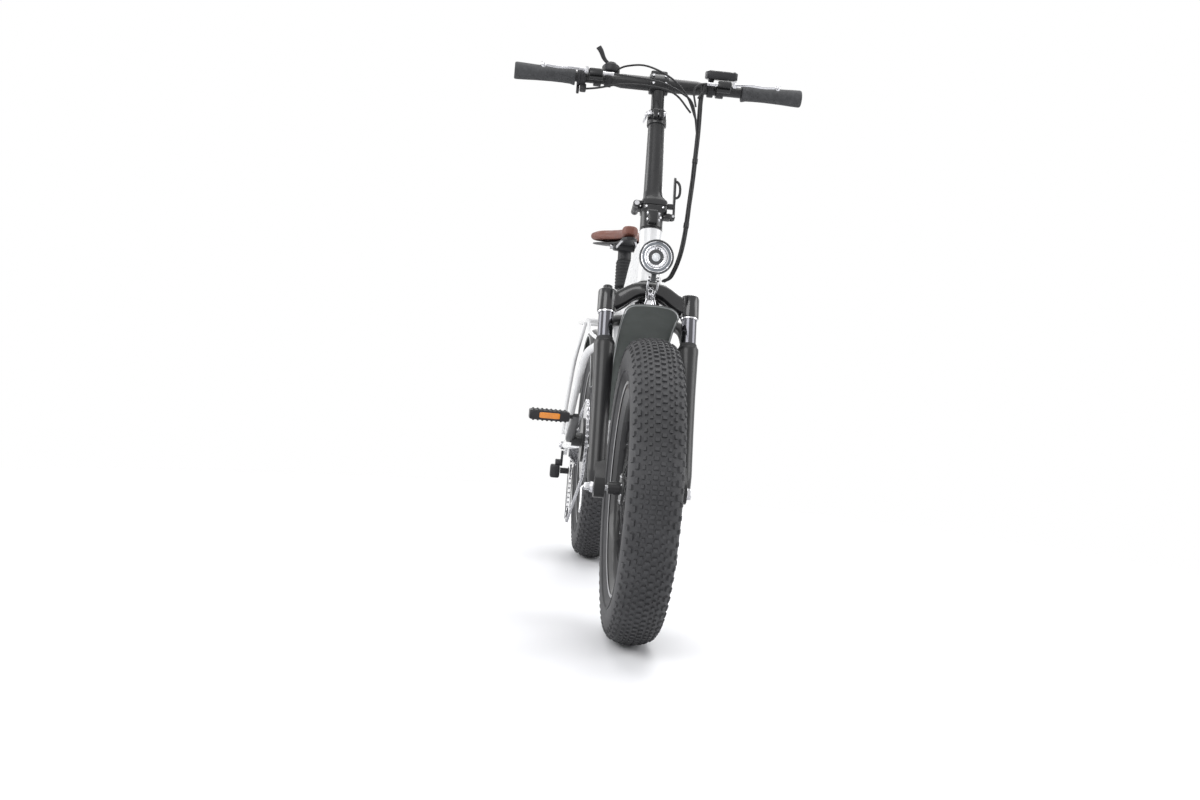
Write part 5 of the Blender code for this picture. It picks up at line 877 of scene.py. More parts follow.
# Fold latch: a forged lever with a finger scoop, pivoted between ears on the front plate. Its nose
# hooks over the catch on the rear plate and pulls the two plates together.
arm_line = smooth([(0.0068, -0.0085), (0.0075, 0), (0.0068, 0.0085), (-0.0040, 0.0148), (-0.0300, 0.0140),
                   (-0.0560, 0.0108), (-0.0740, 0.0112), (-0.0845, 0.0090), (-0.0870, 0),
                   (-0.0845, -0.0090), (-0.0740, -0.0112), (-0.0560, -0.0108), (-0.0300, -0.0140),
                   (-0.0040, -0.0148), (0.0068, -0.0085)], 61)[:-1]
latch_arm = slab(arm_line + (-0.091, FOLD_Z), -0.0540, -0.0468)
latch_pivot = turned([(-0.0152, 0), (-0.0152, 0.0046), (0.0152, 0.0046), (0.0152, 0)],
                     (-0.048, -0.091, FOLD_Z), (0, 0, 1), 20)
finished("fold_latch_lever", [latch_arm, latch_pivot], polished, "fold_latch", "fold_latch",
         bevel=0.0012)

# Rear frame: the main tube's rear half with its fold plate and catch, the seat tube with its clamp
# collar, the bracket shell and a gusset under the tube, welded and painted with the front.
BRACKET, SEAT_WAY = np.array((0, 0.125, 0.335)), np.array((0, 0.309017, 0.951057))
SEAT_TOP = BRACKET + 0.3 * SEAT_WAY
rear_rows = [(-0.0740, 0.0325, 0, 1.0), (0.0200, 0.0325, 0.06, 1.0), (0.0800, 0.0318, 0.16, 1.0),
             (0.1250, 0.0290, 0.24, 0.99), (0.1500, 0.0240, 0.30, 0.95), (0.1700, 0.0175, 0.325, 0.90)]
seat_line = [(-0.004, 0.0160), (-0.004, 0.0210), (0.2990, 0.0210), (0.3000, 0.0203), (0.3000, 0.0160)]
shell_line = [(-0.0500, 0.0092), (-0.0500, 0.0224), (-0.0492, 0.0230), (0.0492, 0.0230), (0.0500, 0.0224),
              (0.0500, 0.0092)]
gusset = swept(smooth([(0, -0.002, 0.545), (0, 0.030, 0.492), (0, 0.078, 0.430), (0, 0.128, 0.352)], 14),
               oval(1, 1, 24, 0.45),
               np.stack([np.linspace(0.0165, 0.0160, 14), np.linspace(0.024, 0.0200, 14)], 1),
               up=(0, 0.8, 0.6))
catch = pillow((0.0140, 0.0100, 0.0240), (-0.0430, FOLD_Y + 0.0078, FOLD_Z), edge=0.25)
finished("rear_frame_paint", [main_tube(rear_rows), slab(plate_line, -0.0847, -0.0727, "Y"),
                              bead((-0.0715, 0.0328, 0, 1.01)),
                              turned(seat_line, BRACKET, SEAT_WAY, 48, True),
                              turned(shell_line, BRACKET, (1, 0, 0), 48, True), gusset, catch,
                              *knuckle(-0.0223, 0.0223, 1)],
         white_gloss, "rear_frame", "rear_frame", bevel=0.0007)
collar = turned([(0.2760, 0.0212), (0.2762, 0.0245), (0.2775, 0.0250), (0.2975, 0.0250), (0.2988, 0.0245),
                 (0.2990, 0.0212)], BRACKET, SEAT_WAY, 48, True)
collar_ears = [pillow((0.0120, 0.0200, 0.0180), SEAT_TOP - 0.011 * SEAT_WAY + (s * 0.0078, 0.031, 0),
                      edge=0.25) for s in (-1, 1)]
collar_bolt = turned([(-0.0185, 0), (-0.0185, 0.0030), (0.0165, 0.0030), (0.0165, 0.0052), (0.0140, 0.0058),
                      (0.0140, 0)], SEAT_TOP - 0.011 * SEAT_WAY + (0, 0.033, 0), (1, 0, 0), 20)
bracket_cups = [turned([(s * 0.0501, 0.0092), (s * 0.0501, 0.0205), (s * 0.0506, 0.0200),
                        (s * 0.0506, 0.0092)], BRACKET, (1, 0, 0), 40, True) for s in (-1, 1)]
finished("seat_collar", [collar, *collar_ears, collar_bolt, *bracket_cups], satin_black, "rear_frame")

# Rear triangle: tapered white chainstays and seatstays, with thick dropout plates that hold the
# motor's flatted axle by two steel nuts. The left chainstay carries the kickstand's mount.
def rounded(points, ease, steps=6):
    """A path whose inner corners are eased: each becomes the parabola that leaves the straight runs
    at ease before the corner and after it."""
    points = [np.asarray(point, float) for point in points]
    path = [points[0]]
    for before, corner, after in zip(points, points[1:], points[2:]):
        start, end = (corner + (other - corner) * min(0.48, ease / np.linalg.norm(other - corner))
                      for other in (before, after))
        t = np.linspace(0, 1, steps)[:, None]
        path += list((1 - t) ** 2 * start + 2 * t * (1 - t) * corner + t ** 2 * end)
    return np.array(path + [points[-1]])


drop_line = [(0.493, 0.283), (0.520, 0.270), (0.545, 0.2645), (0.575, 0.2665), (0.581, 0.282),
             (0.579, 0.300), (0.560, 0.333), (0.545, 0.339), (0.533, 0.3385), (0.515, 0.320),
             (0.493, 0.303)]
chain_stay = ((0.040, 0.152, 0.331), (0.056, 0.220, 0.323), (0.0795, 0.290, 0.313), (0.0905, 0.400, 0.303),
              (0.093, 0.507, 0.294))
seat_stay = ((0.0275, 0.2030, 0.5790), (0.052, 0.240, 0.5600), (0.074, 0.288, 0.530),
             (0.0825, 0.400, 0.440), (0.0885, 0.537, 0.329))
for side, label in ((-1, "right"), (1, "left")):
    chain_path = smooth(on_side(side, chain_stay), 36)
    thick = np.interp(np.linspace(0, 1, 36), (0, 0.3, 0.85, 1), (0.0110, 0.0110, 0.0102, 0.0085))
    collar = on_side(side, ((0.0853, 0.0066), (0.0853, 0.0130), (0.0922, 0.0130), (0.0922, 0.0066)))
    parts = [tube(chain_path, thick, 20),
             slab(smooth(drop_line + drop_line[:1], 48)[:-1], side * 0.0855, side * 0.0920),
             turned(collar, REAR_AXLE, (1, 0, 0), 28, True)]
    if side > 0:
        parts.append(pillow((0.0165, 0.0340, 0.0260), (0.1007, 0.375, 0.300), edge=0.25))
    finished(f"chainstay_{label}_paint", parts, white_gloss, "rear_frame",
             f"chainstay_{label}", bevel=0.0006)
    seat_path = smooth(on_side(side, seat_stay), 36)
    thick = np.interp(np.linspace(0, 1, 36), (0, 0.3, 0.9, 1), (0.0095, 0.0095, 0.0088, 0.0070))
    finished(f"seatstay_{label}_paint", [tube(seat_path, thick, 20)], white_gloss, "rear_frame",
             f"seatstay_{label}")
axle_parts = [turned([(-0.1060, 0), (-0.1060, 0.0052), (-0.1050, 0.0060), (0.1050, 0.0060),
                      (0.1060, 0.0052), (0.1060, 0)], REAR_AXLE, (1, 0, 0), 24)]
for side in (-1, 1):
    washer = on_side(side, ((0.0923, 0.0062), (0.0923, 0.0118), (0.0935, 0.0118), (0.0935, 0.0062)))
    axle_parts.append(turned(washer, REAR_AXLE, (1, 0, 0), 32, True))
    axle_parts.append(hex_nut(REAR_AXLE + (side * 0.0935, 0, 0), (side, 0, 0), 0.0105, 0.0085))
finished("rear_axle_nuts", axle_parts, bright_steel, "rear_frame", "rear_axle", bevel=0.0003)

# Rear rack: a white platform of 11 mm rod with five pressed slats, on two bent legs down to the
# dropouts and two struts to the seatstays, with a short post to the mudguard.
rack_loop = rounded([(-0.070, 0.345, 0.622), (-0.070, 0.745, 0.622), (0.070, 0.745, 0.622),
                     (0.070, 0.345, 0.622)], 0.030, 9)
rack = [tube(rack_loop, 0.0055, 14)]
for step in range(5):
    rack.append(pillow((0.140, 0.016, 0.005), (0, 0.345 + 0.4 * (step + 0.1) / 4.5, 0.6253), edge=0.22))
for side in (-1, 1):
    leg = [(side * 0.068, 0.475, 0.622), (side * 0.088, 0.490, 0.522), (side * 0.0975, 0.549, 0.385),
           (side * 0.0975, 0.557, 0.324)]
    rack.append(tube(rounded(leg, 0.030, 7), 0.0050, 12))
    rack.append(turned([(side * 0.0930, 0), (side * 0.0930, 0.0075), (side * 0.1020, 0.0075),
                        (side * 0.1020, 0)], (0, 0.557, 0.326), (1, 0, 0), 20))
    strut = [(side * 0.070, 0.347, 0.622), (side * 0.066, 0.315, 0.592), (side * 0.044, 0.253, 0.5735)]
    rack.append(tube(rounded(strut, 0.020, 6), 0.0045, 12))
slat_y = 0.345 + 0.4 * 2.1 / 4.5
rack.append(turned([(0.6080, 0), (0.6080, 0.0080), (0.6255, 0.0080), (0.6255, 0)],
                   (0, slat_y, 0), (0, 0, 1), 24))
finished("rear_rack_paint", rack, white_gloss, "rear_frame", "rear_rack")

# Stem base and folding mast: cast black clamp on the steerer, a cross hinge on its right side, and a
# tapering mast with a slit collar for the telescopic tube. Screws are bright.
def lofted(rows, count=40):
    """A skin over rows of (centre x, centre y, z, half x, half y, edge): each is an oval whose edge
    power runs from 1, round, to about 0.25, a rounded oblong."""
    points = [np.column_stack((oval(hx, hy, count, edge) + (cx, cy), np.full(count, z)))
              for cx, cy, z, hx, hy, edge in rows]
    faces = weave(len(rows), count, False, True)
    faces += [list(range(count))[::-1], list(range(len(rows) * count - count, len(rows) * count))]
    return np.vstack(points), faces


stem_black = coated("stem_black_coat", (0.016, 0.016, 0.017), 0.30, coat=0.25)
base_skin = lofted([(0, 0, 0.5584, 0.0220, 0.0220, 1), (0, 0, 0.5600, 0.0232, 0.0232, 1),
                    (0, 0, 0.5880, 0.0232, 0.0232, 1), (0.001, 0, 0.5935, 0.0240, 0.0230, 0.75),
                    (0.003, 0, 0.5965, 0.0268, 0.0230, 0.35), (0.003, 0, 0.6050, 0.0270, 0.0230, 0.30),
                    (0.003, 0, 0.6058, 0.0262, 0.0222, 0.30)])
base_parts = [base_skin, pillow((0.020, 0.014, 0.030), (0, -0.0255, 0.576), edge=0.3),
              pillow((0.017, 0.018, 0.012), (0.0300, 0, 0.590), edge=0.3),
              *[pillow((0.015, 0.003, 0.010), (0.0385, s * 0.0062, 0.590), edge=0.4) for s in (-1, 1)],
              turned([(-0.010, 0), (-0.010, 0.0070), (-0.0093, 0.0075), (0.0093, 0.0075), (0.010, 0.0070),
                      (0.010, 0)], (-0.034, 0, 0.606), (0, 1, 0), 28),
              pillow((0.014, 0.018, 0.006), (-0.0280, 0, 0.6028), edge=0.25)]
finished("stem_base_casting", steered(*base_parts), stem_black, "steering", "stem_base",
         bevel=0.0004)
screws = [hex_nut((s * 0.0100, -0.0285, z), (s, 0, 0), 0.0034, 0.0032) for s in (-1, 1)
          for z in (0.5690, 0.5830)]
screw_line = [(0, 0), (0, 0.0024), (0.0013, 0.0022), (0.0016, 0.0012), (0.0008, 0)]
screws += [turned(screw_line, (x, -0.0230, z), (0, -1, 0), 12)
           for x, z in ((-0.014, 0.6005), (0.020, 0.6005), (0.0160, 0.5770))]
screws.append(turned([(-0.0246, 0), (-0.0246, 0.0050), (-0.0226, 0.0054), (-0.0226, 0.0036),
                      (0.0226, 0.0036), (0.0226, 0.0054), (0.0246, 0.0050),
                      (0.0246, 0)], (-0.034, 0, 0.606), (0, 1, 0), 20))
screws.append(turned([(-0.0084, 0), (-0.0084, 0.0028), (0.0084, 0.0028), (0.0084, 0)], (0.043, 0, 0.590),
                     (0, 1, 0), 16))
finished("stem_base_screws", steered(*screws), bright_steel, "steering")

mast_skin = lofted([(0.003, 0, 0.6067, 0.0262, 0.0222, 0.30), (0.003, 0, 0.6075, 0.0270, 0.0230, 0.30),
                    (0.003, 0, 0.6170, 0.0268, 0.0230, 0.32), (0.0028, 0, 0.6205, 0.0252, 0.0222, 0.45),
                    (0.0015, 0, 0.6280, 0.0218, 0.0205, 0.75), (0, 0, 0.6420, 0.0196, 0.0192, 1),
                    (0, 0, 0.7000, 0.0187, 0.0185, 1), (0, 0, 0.7960, 0.0174, 0.0174, 1)])
collar = turned([(0.7945, 0.0172), (0.7950, 0.0200), (0.7965, 0.0205), (0.8255, 0.0205), (0.8268, 0.0198),
                 (0.8270, 0.0145), (0.8240, 0.0143)], (0, 0, 0), (0, 0, 1), 48)
collar_ears = [pillow((0.0098, 0.0150, 0.0200), (s * 0.0060, -0.0245, 0.8110), edge=0.25) for s in (-1, 1)]
hinge_ends = []
for side in (-1, 1):
    hinge_ends.append(turned([(side * 0.0104, 0), (side * 0.0104, 0.0070), (side * 0.0112, 0.0075),
                              (side * 0.0213, 0.0075), (side * 0.0220, 0.0070),
                              (side * 0.0220, 0)], (-0.034, 0, 0.606), (0, 1, 0), 28))
    hinge_ends.append(pillow((0.0140, 0.0110, 0.0062), (-0.0280, side * 0.0162, 0.6098), edge=0.25))
finished("mast_tube", steered(mast_skin, collar, *collar_ears, *hinge_ends), stem_black, "mast",
         "mast", bevel=0.0003)
clamp_bolt = turned([(-0.0150, 0), (-0.0150, 0.0026), (0.0108, 0.0026), (0.0108, 0.0052), (0.0140, 0.0052),
                     (0.0146, 0.0040), (0.0146, 0)], (0, -0.0255, 0.8110), (1, 0, 0), 24)
finished("mast_clamp_bolt", steered(clamp_bolt), bright_steel, "mast")
mast_pinch = quick_lever((-0.0160, -0.0255, 0.811), (0, 0, 1), (-1, 0, 0), (0, 1, 0), 0.040)
finished("mast_release_lever", steered(*mast_pinch), polished, "mast_lever", "mast_lever",
         bevel=0.0004)

# Mast latch: a pressed strap up the mast's left side, pivoted on the base, whose nub presses the
# foot down. A bent wire loop on its upper half is the handle.
strap_line = smooth([(-0.0043, -0.002), (0, -0.0048), (0.0043, -0.002), (0.0043, 0.026), (0.0074, 0.036),
                     (0.0078, 0.060), (0.0070, 0.084), (0, 0.0915), (-0.0070, 0.084), (-0.0078, 0.060),
                     (-0.0074, 0.036), (-0.0043, 0.026), (-0.0043, -0.002)], 57)[:-1]
pivot = np.array((0.043, 0, 0.590))
handle = smooth(np.array([(0.0020, 0, 0.0440), (0.0098, 0, 0.0480), (0.0130, 0, 0.0580),
                          (0.0125, 0, 0.0720), (0.0080, 0, 0.0810), (0.0020, 0, 0.0830)]) + pivot, 30)
latch_parts = [slab(strap_line + pivot[1:], 0.0426, 0.0470), tube(handle, 0.0027, 12),
               pillow((0.0132, 0.0100, 0.0100), pivot + (-0.0055, 0, 0.0245), edge=0.3),
               turned([(-0.0044, 0), (-0.0044, 0.0046), (0.0044, 0.0046), (0.0044, 0)], pivot, (0, 1, 0),
                      20)]
finished("mast_latch_strap", steered(*latch_parts), satin_black, "mast_latch", "mast_latch",
         bevel=0.0006)

# Telescopic stem tube and bar: a black tube with a turned clamp and four bright bolts, and a butted
# alloy bar across it.
BAR_Z = 0.894
sleeve = turned([(0.677, 0), (0.677, 0.0134), (0.678, 0.0140), (0.874, 0.0140), (0.874, 0)], (0, 0, 0),
                (0, 0, 1), 40)
bar_clamp = turned([(-0.020, 0.0153), (-0.020, 0.0205), (-0.0185, 0.0220), (0.0185, 0.0220),
                    (0.020, 0.0205), (0.020, 0.0153)], (0, 0, BAR_Z), (1, 0, 0), 56, closed=True)
finished("stem_tube_and_clamp", steered(sleeve, bar_clamp, pillow((0.036, 0.022, 0.010), (0, 0, 0.917))),
         stem_black, "bar", "stem_tube", bevel=0.0003)
clamp_screws = [turned([(0, 0), (0, 0.0030), (0.0020, 0.0028), (0.0022, 0.0016), (0.0010, 0)],
                       (x, -0.0215, BAR_Z + z), (0, -1, 0), 20) for x in (-0.013, 0.013)
                for z in (-0.009, 0.009)]
finished("bar_clamp_screws", steered(*clamp_screws), bright_steel, "bar")
bar_line = [(-0.301, 0), (-0.301, 0.0111), (-0.100, 0.0111), (-0.080, 0.0150), (0.080, 0.0150),
            (0.100, 0.0111), (0.301, 0.0111), (0.301, 0)]
finished("handlebar_tube", steered(turned(bar_line, (0, 0, BAR_Z), (1, 0, 0), 48)), satin_black, "bar",
         "handlebar", bevel=0.0004)

# Controls: dark grey rubber grips flared at both ends, and on each side a clamped brake perch with a
# barrel adjuster and a polished lever that ends in a ball.
grip_rubber = Finish("grip_rubber", roughness=0.75)
grip_rubber.colour(grip_rubber.ramp(grip_rubber.noise(120.0, 4.0), (0.3, (0.035, 0.036, 0.038)),
                                    (0.7, (0.060, 0.061, 0.064))))
ribs = grip_rubber.node("ShaderNodeMath", {"operation": "SINE"}, {0: grip_rubber.axis(0) * 1900.0})
grip_rubber.bump(ribs * 0.4 + grip_rubber.noise(700.0, 2.0) * 0.6, 0.0004)
lever_line = smooth([(0, 0, 0), (0.030, -0.007, -0.002), (0.060, -0.006, -0.003), (0.088, -0.010, -0.003)],
                    30)
for side, word in ((-1, "right"), (1, "left")):
    grip_line = [(0.177, 0.0114), (0.177, 0.0178), (0.178, 0.0185), (0.181, 0.0183), (0.187, 0.0165),
                 (0.205, 0.0157), (0.227, 0.0155), (0.260, 0.0163), (0.285, 0.0175), (0.301, 0.0180),
                 (0.304, 0.0172), (0.305, 0.0155), (0.305, 0), (0.3013, 0), (0.3013, 0.0114)]
    grip = turned(on_side(side, grip_line), (0, 0, BAR_Z), (1, 0, 0), 64, closed=True)
    finished(f"grip_rubber_{word}", steered(grip), grip_rubber, "bar", f"grip_{word}")
    band_line = ((0.122, 0.0114), (0.122, 0.0158), (0.1226, 0.0165), (0.1374, 0.0165), (0.138, 0.0158),
                 (0.138, 0.0114))
    band = turned(on_side(side, band_line), (0, 0, BAR_Z), (1, 0, 0), 40, closed=True)
    arm = pillow((0.030, 0.026, 0.014), (side * 0.136, -0.026, 0.890), edge=0.28)
    switch = rods([(side * 0.120, -0.026, 0.880)], [(side * 0.148, -0.026, 0.880)], 0.0045, 20)
    finished(f"brake_perch_body_{word}", steered(band, arm, switch), satin_black, "bar",
             f"brake_perch_{word}", bevel=0.0003)
    barrel = turned([(0, 0), (0, 0.0042), (0.008, 0.0042), (0.009, 0.0034), (0.020, 0.0034),
                     (0.021, 0.0042), (0.026, 0.0036), (0.026, 0)],
                    (side * 0.124, -0.031, 0.890), (-side, 0, 0), 24)
    finished(f"barrel_adjuster_{word}", steered(barrel), polished, "bar")
    pivot = np.array((side * 0.156, -0.038, 0.890))
    blade = swept(lever_line * (side, 1, 1) + pivot, oval(0.0045, 0.0034, 20), np.linspace(1.0, 0.86, 30),
                  up=(0, 0, 1))
    ball = turned([(0.0065 * math.cos(a), 0.0065 * math.sin(a)) for a in np.linspace(math.pi, 0, 14)],
                  pivot + (side * 0.090, -0.0102, -0.003), (1, 0, 0), 24)
    root = turned([(-0.006, 0), (-0.006, 0.0042), (-0.0055, 0.0047), (0.0055, 0.0047), (0.006, 0.0042),
                   (0.006, 0)], pivot, (0, 0, 1), 24)
    finished(f"brake_lever_blade_{word}", steered(blade, ball, root), polished, f"brake_lever_{word}",
             f"brake_lever_{word}")

# Shifter, throttle and display: moulded black pods, each on its own bar clamp, with a long shift
# paddle, a thumb lever and a tilted glass screen.
matt_plastic = coated("matt_black_plastic", (0.024, 0.024, 0.026), 0.46, grain=1500.0, relief=0.00006)
screen_glass = coated("screen_glass", (0.008, 0.009, 0.011), 0.08, coat=1.0, relief=0.000002, drift=0.1)


def bar_ring(low, high, radius):
    """A clamp band round the bar."""
    return turned([(low, 0.0114), (low, radius - 0.0006), (low + 0.0006, radius), (high - 0.0006, radius),
                   (high, radius - 0.0006), (high, 0.0114)], (0, 0, BAR_Z), (1, 0, 0), 40, closed=True)


pod = turned([(-0.010, 0), (-0.010, 0.0155), (-0.0090, 0.0168), (-0.006, 0.019), (0.006, 0.019),
              (0.0090, 0.0165), (0.010, 0.0145), (0.010, 0)], (-0.102, 0.012, 0.924), (0, 0, 1), 48)
finished("shifter_pod", steered(bar_ring(-0.115, -0.101, 0.0160),
                                pillow((0.013, 0.014, 0.022), (-0.108, 0.006, 0.9175)), pod),
         matt_plastic, "bar", "shifter")
blade = smooth([(-0.004, 0, 0.003), (-0.016, -0.006, 0.012), (-0.024, -0.012, 0.026),
                (-0.030, -0.014, 0.034)], 24)
paddle_pivot = np.array((-0.102, 0.012, 0.9345))
blade = swept(blade + paddle_pivot, oval(0.0034, 0.0020, 20, 0.7), np.linspace(1.0, 1.75, 24), up=(0, 1, 0))
hub = turned([(0, 0), (0, 0.0116), (0.0006, 0.012), (0.0034, 0.012), (0.004, 0.0112), (0.004, 0)],
             paddle_pivot, (0, 0, 1), 36)
finished("shift_paddle", steered(blade, hub), matt_plastic, "shifter_paddle",
         "shifter_paddle")
finished("throttle_pod", steered(bar_ring(-0.166, -0.155, 0.0185),
                                 pillow((0.0135, 0.016, 0.014), (-0.159, 0.006, 0.872))),
         matt_plastic, "bar", "throttle")
finished("thumb_lever", steered(bar_ring(-0.1727, -0.1663, 0.0180),
                                pillow((0.0062, 0.012, 0.020), (-0.1695, 0.014, 0.874))),
         matt_plastic, "throttle_lever", "throttle_lever")
lean = math.radians(28)
tilt = np.array(((1, 0, 0), (0, math.cos(lean), -math.sin(lean)), (0, math.sin(lean), math.cos(lean))))
centre = np.array((0.132, -0.006, 0.926))
case = pillow((0.066, 0.044, 0.018), centre, tilt, 0.22)
finished("display_case", steered(case, bar_ring(0.104, 0.116, 0.0160),
                                 pillow((0.012, 0.012, 0.018), (0.110, -0.010, 0.9165))),
         matt_plastic, "bar", "display")
glass = pillow((0.048, 0.034, 0.0016), centre + tilt @ (-0.004, 0, 0.0088), tilt, 0.12)
finished("display_glass", steered(glass), screen_glass, "bar")
keys = [pillow((0.0055, 0.0075, 0.0022), centre + tilt @ (0.0262, y, 0.0090), tilt, 0.4)
        for y in (-0.011, 0, 0.011)]
finished("display_keys", steered(*keys), seal_rubber, "bar")

# Cables: thin black housings. Those on the bar end beside the loom, which is a twisted bundle of five
# with two ties, runs down to the main tube and rides on the frame.
housing = coated("cable_housing", (0.016, 0.016, 0.017), 0.45)
runs = [[(-0.098, -0.031, 0.890), (-0.06, -0.045, 0.880), (0, -0.055, 0.868), (0.045, -0.050, 0.850),
         (0.070, -0.040, 0.830), (0.084, -0.025, 0.760)],
        [(-0.092, 0, 0.918), (-0.070, -0.010, 0.925), (-0.03, -0.035, 0.915), (0.02, -0.048, 0.885),
         (0.055, -0.044, 0.850), (0.078, -0.034, 0.800)],
        [(-0.163, 0.004, 0.868), (-0.13, -0.012, 0.865), (-0.08, -0.035, 0.866), (-0.02, -0.046, 0.862),
         (0.03, -0.045, 0.850), (0.066, -0.036, 0.815)],
        [(0.098, -0.031, 0.890), (0.080, -0.040, 0.880), (0.070, -0.042, 0.862), (0.076, -0.036, 0.830)],
        [(0.115, -0.012, 0.912), (0.095, -0.030, 0.880), (0.080, -0.038, 0.850)]]
finished("bar_cables", steered(*[tube(smooth(run, 40), 0.0021, 10) for run in runs]), housing, "bar",
         "bar_cable")
spine = smooth([(0.0933, -0.031, 0.887), (0.0905, -0.0315, 0.881), (0.087, -0.030, 0.850),
                (0.082, -0.020, 0.720), (0.068, 0.004, 0.540), (0.052, 0.034, 0.480),
                (0.0352, 0.040, 0.465)], 90)
turn = np.linspace(0, 5.0, 90)
strands = []
for number in range(5):
    angle = turn + number * math.tau / 5
    twist = 0.0032 * np.stack([np.cos(angle), np.sin(angle), np.zeros(90)], 1)
    strands.append(tube(spine + twist, 0.0019, 8))
ties = [tube(spine[at:at + 3], 0.0058, 14) for at in (34, 62)]
finished("cable_loom_strands", steered(*strands, *ties), housing, "front_frame", "cable_loom")

# Saddle: foam under a reddish brown cover, pressed up by a cloth step from a plain cushion, on a
# black moulded base with two steel rails.
SADDLE_NOSE, SADDLE_LENGTH = 0.1475, 0.265
COVER_UNDERSIDE, COVER_CROWN, MOST_PUFF = 0.8245, 0.8500, 0.005
leather = Finish("saddle_cover", roughness=0.5)
crease, pores = leather.noise(60.0, 5.0, 0.6), leather.noise(900.0, 2.0)
leather.colour(leather.ramp(leather.noise(14.0, 4.0) * 0.6 + crease * 0.4, (0.3, (0.095, 0.030, 0.020)),
                            (0.7, (0.17, 0.058, 0.038))))
leather.roughness(0.42 + crease * 0.2)
leather.bump(pores * 0.6 + crease * 0.4, 0.0004)


def saddle_half_width(t):
    """The seat's half width at a share t of its length from the nose: (21 mm + 69 mm * an S-curve about
    0.55) * a quarter round that closes the back from 0.8 on * a square root that opens the nose."""
    swell = 1 / (1 + np.exp(-12 * (t - 0.55)))
    closing = 0.25 + 0.75 * np.sqrt(1 - np.clip((t - 0.8) / 0.2, 0, 1) ** 2)
    return (0.021 + 0.069 * swell) * closing * np.sqrt(np.minimum(1, 0.15 + t / 0.08))


def saddle_form(low, high, share, rows=44, count=48):
    """Rounded oblong rings from the nose to the back, each sunk by 5 mm * sin(half a turn * its share
    of the length), and closed with flat ends."""
    rings = []
    for at in np.linspace(0.004, 0.996, rows):
        ring = oval(share * saddle_half_width(at), (high - low) / 2, count, 0.55)
        middle = (low + high) / 2 - 0.005 * math.sin(math.pi * at)
        rings.append(np.stack([ring[:, 0], np.full(count, SADDLE_NOSE + SADDLE_LENGTH * at),
                               middle + ring[:, 1]], 1))
    faces = weave(rows, count, False, True)
    faces += [list(range(count)), list(range((rows - 1) * count, rows * count))[::-1]]
    return np.vstack(rings), faces


cushion = finished("saddle_cover", [saddle_form(0.8255, 0.8490, 0.965)], leather,
                   "saddle", "saddle")
remade = cushion.modifiers.new("even", "REMESH")
remade.mode, remade.voxel_size = "VOXEL", 0.0045
bpy.context.view_layer.objects.active = cushion
bpy.ops.object.modifier_apply(modifier="even")
before = np.empty(len(cushion.data.vertices) * 3)
cushion.data.vertices.foreach_get("co", before)
cover = cushion.modifiers.new("cover", "CLOTH")
cover.settings.use_pressure, cover.settings.uniform_pressure_force = True, 4.0
cover.settings.effector_weights.gravity = 0
for frame_number in range(1, 21):
    bpy.context.scene.frame_set(frame_number)
bpy.ops.object.modifier_apply(modifier="cover")
after = np.empty_like(before)
cushion.data.vertices.foreach_get("co", after)
move = (after - before).reshape(-1, 3)
far = np.linalg.norm(move, axis=1)[:, None]
moved = before.reshape(-1, 3) + move * np.minimum(1, MOST_PUFF / np.maximum(far, 1e-9))
moved[:, 2] = np.clip(moved[:, 2], COVER_UNDERSIDE, COVER_CROWN)
cushion.data.vertices.foreach_set("co", moved.ravel())
bpy.context.scene.frame_set(1)
cushion.data.materials.clear()
cushion.data.materials.append(leather.material)
rounder = cushion.modifiers.new("round", "SUBSURF")
rounder.levels = rounder.render_levels = 1
cushion.data.shade_smooth()
rail_bends = ((0.012, 0.1775, 0.819), (0.022, 0.2195, 0.806), (0.022, 0.307, 0.806), (0.042, 0.3675, 0.819))
rails = [tube(smooth(on_side(s, rail_bends), 48), 0.0035, 14) for s in (-1, 1)]
cradle = [pillow((0.060, 0.040, 0.018), (0, 0.277, 0.806), edge=0.3),
          turned([(0.459, 0), (0.459, 0.0158), (0.460, 0.0165), (0.488, 0.0165), (0.489, 0.0158),
                  (0.489, 0)], BRACKET, SEAT_WAY, 40)]
finished("saddle_base", [saddle_form(0.816, 0.8237, 0.86), *cradle], matt_plastic, "saddle",
         "saddle_frame")
rail_bolts = [rods([(s * 0.027, 0.277, 0.806)], [(s * 0.037, 0.277, 0.806)], 0.0055, 20) for s in (-1, 1)]
piston = turned([(0.356, 0), (0.356, 0.0105), (0.471, 0.0105), (0.471, 0)], BRACKET, SEAT_WAY, 36)
finished("saddle_rails", [*rails, *rail_bolts, piston], bright_steel, "saddle")

# Seatpost: a black tube, a ribbed rubber boot round its sprung piston, and the polished lever that
# pinches the frame's collar.
boot_line = [(0.3893, 0.0125), (0.3893, 0.0200)]
for number in range(8):
    low = 0.3905 + number * 0.0084
    boot_line += [(low, 0.0172), (low + 0.0028, 0.0198), (low + 0.0050, 0.0200), (low + 0.0078, 0.0172)]
boot_line += [(0.459, 0.0185), (0.459, 0.0125)]
boot = finished("seatpost_boot", [turned(boot_line, BRACKET, SEAT_WAY, 48, closed=True)], seal_rubber,
                "seatpost", "seat_boot")
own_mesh(boot)
post = turned([(0.110, 0), (0.110, 0.0145), (0.111, 0.0150), (0.388, 0.0150), (0.389, 0.0145), (0.389, 0)],
              BRACKET, SEAT_WAY, 44)
finished("seatpost_tube", [post], stem_black, "seatpost", "seatpost")
seat_pinch = SEAT_TOP - 0.011 * SEAT_WAY + (-0.0190, 0.033, 0)
finished("seat_quick_lever", quick_lever(seat_pinch, (0, 0, 1), (-1, 0, 0), (0, -1, 0), 0.042), polished,
         "seat_lever", "seat_lever", bevel=0.0004)

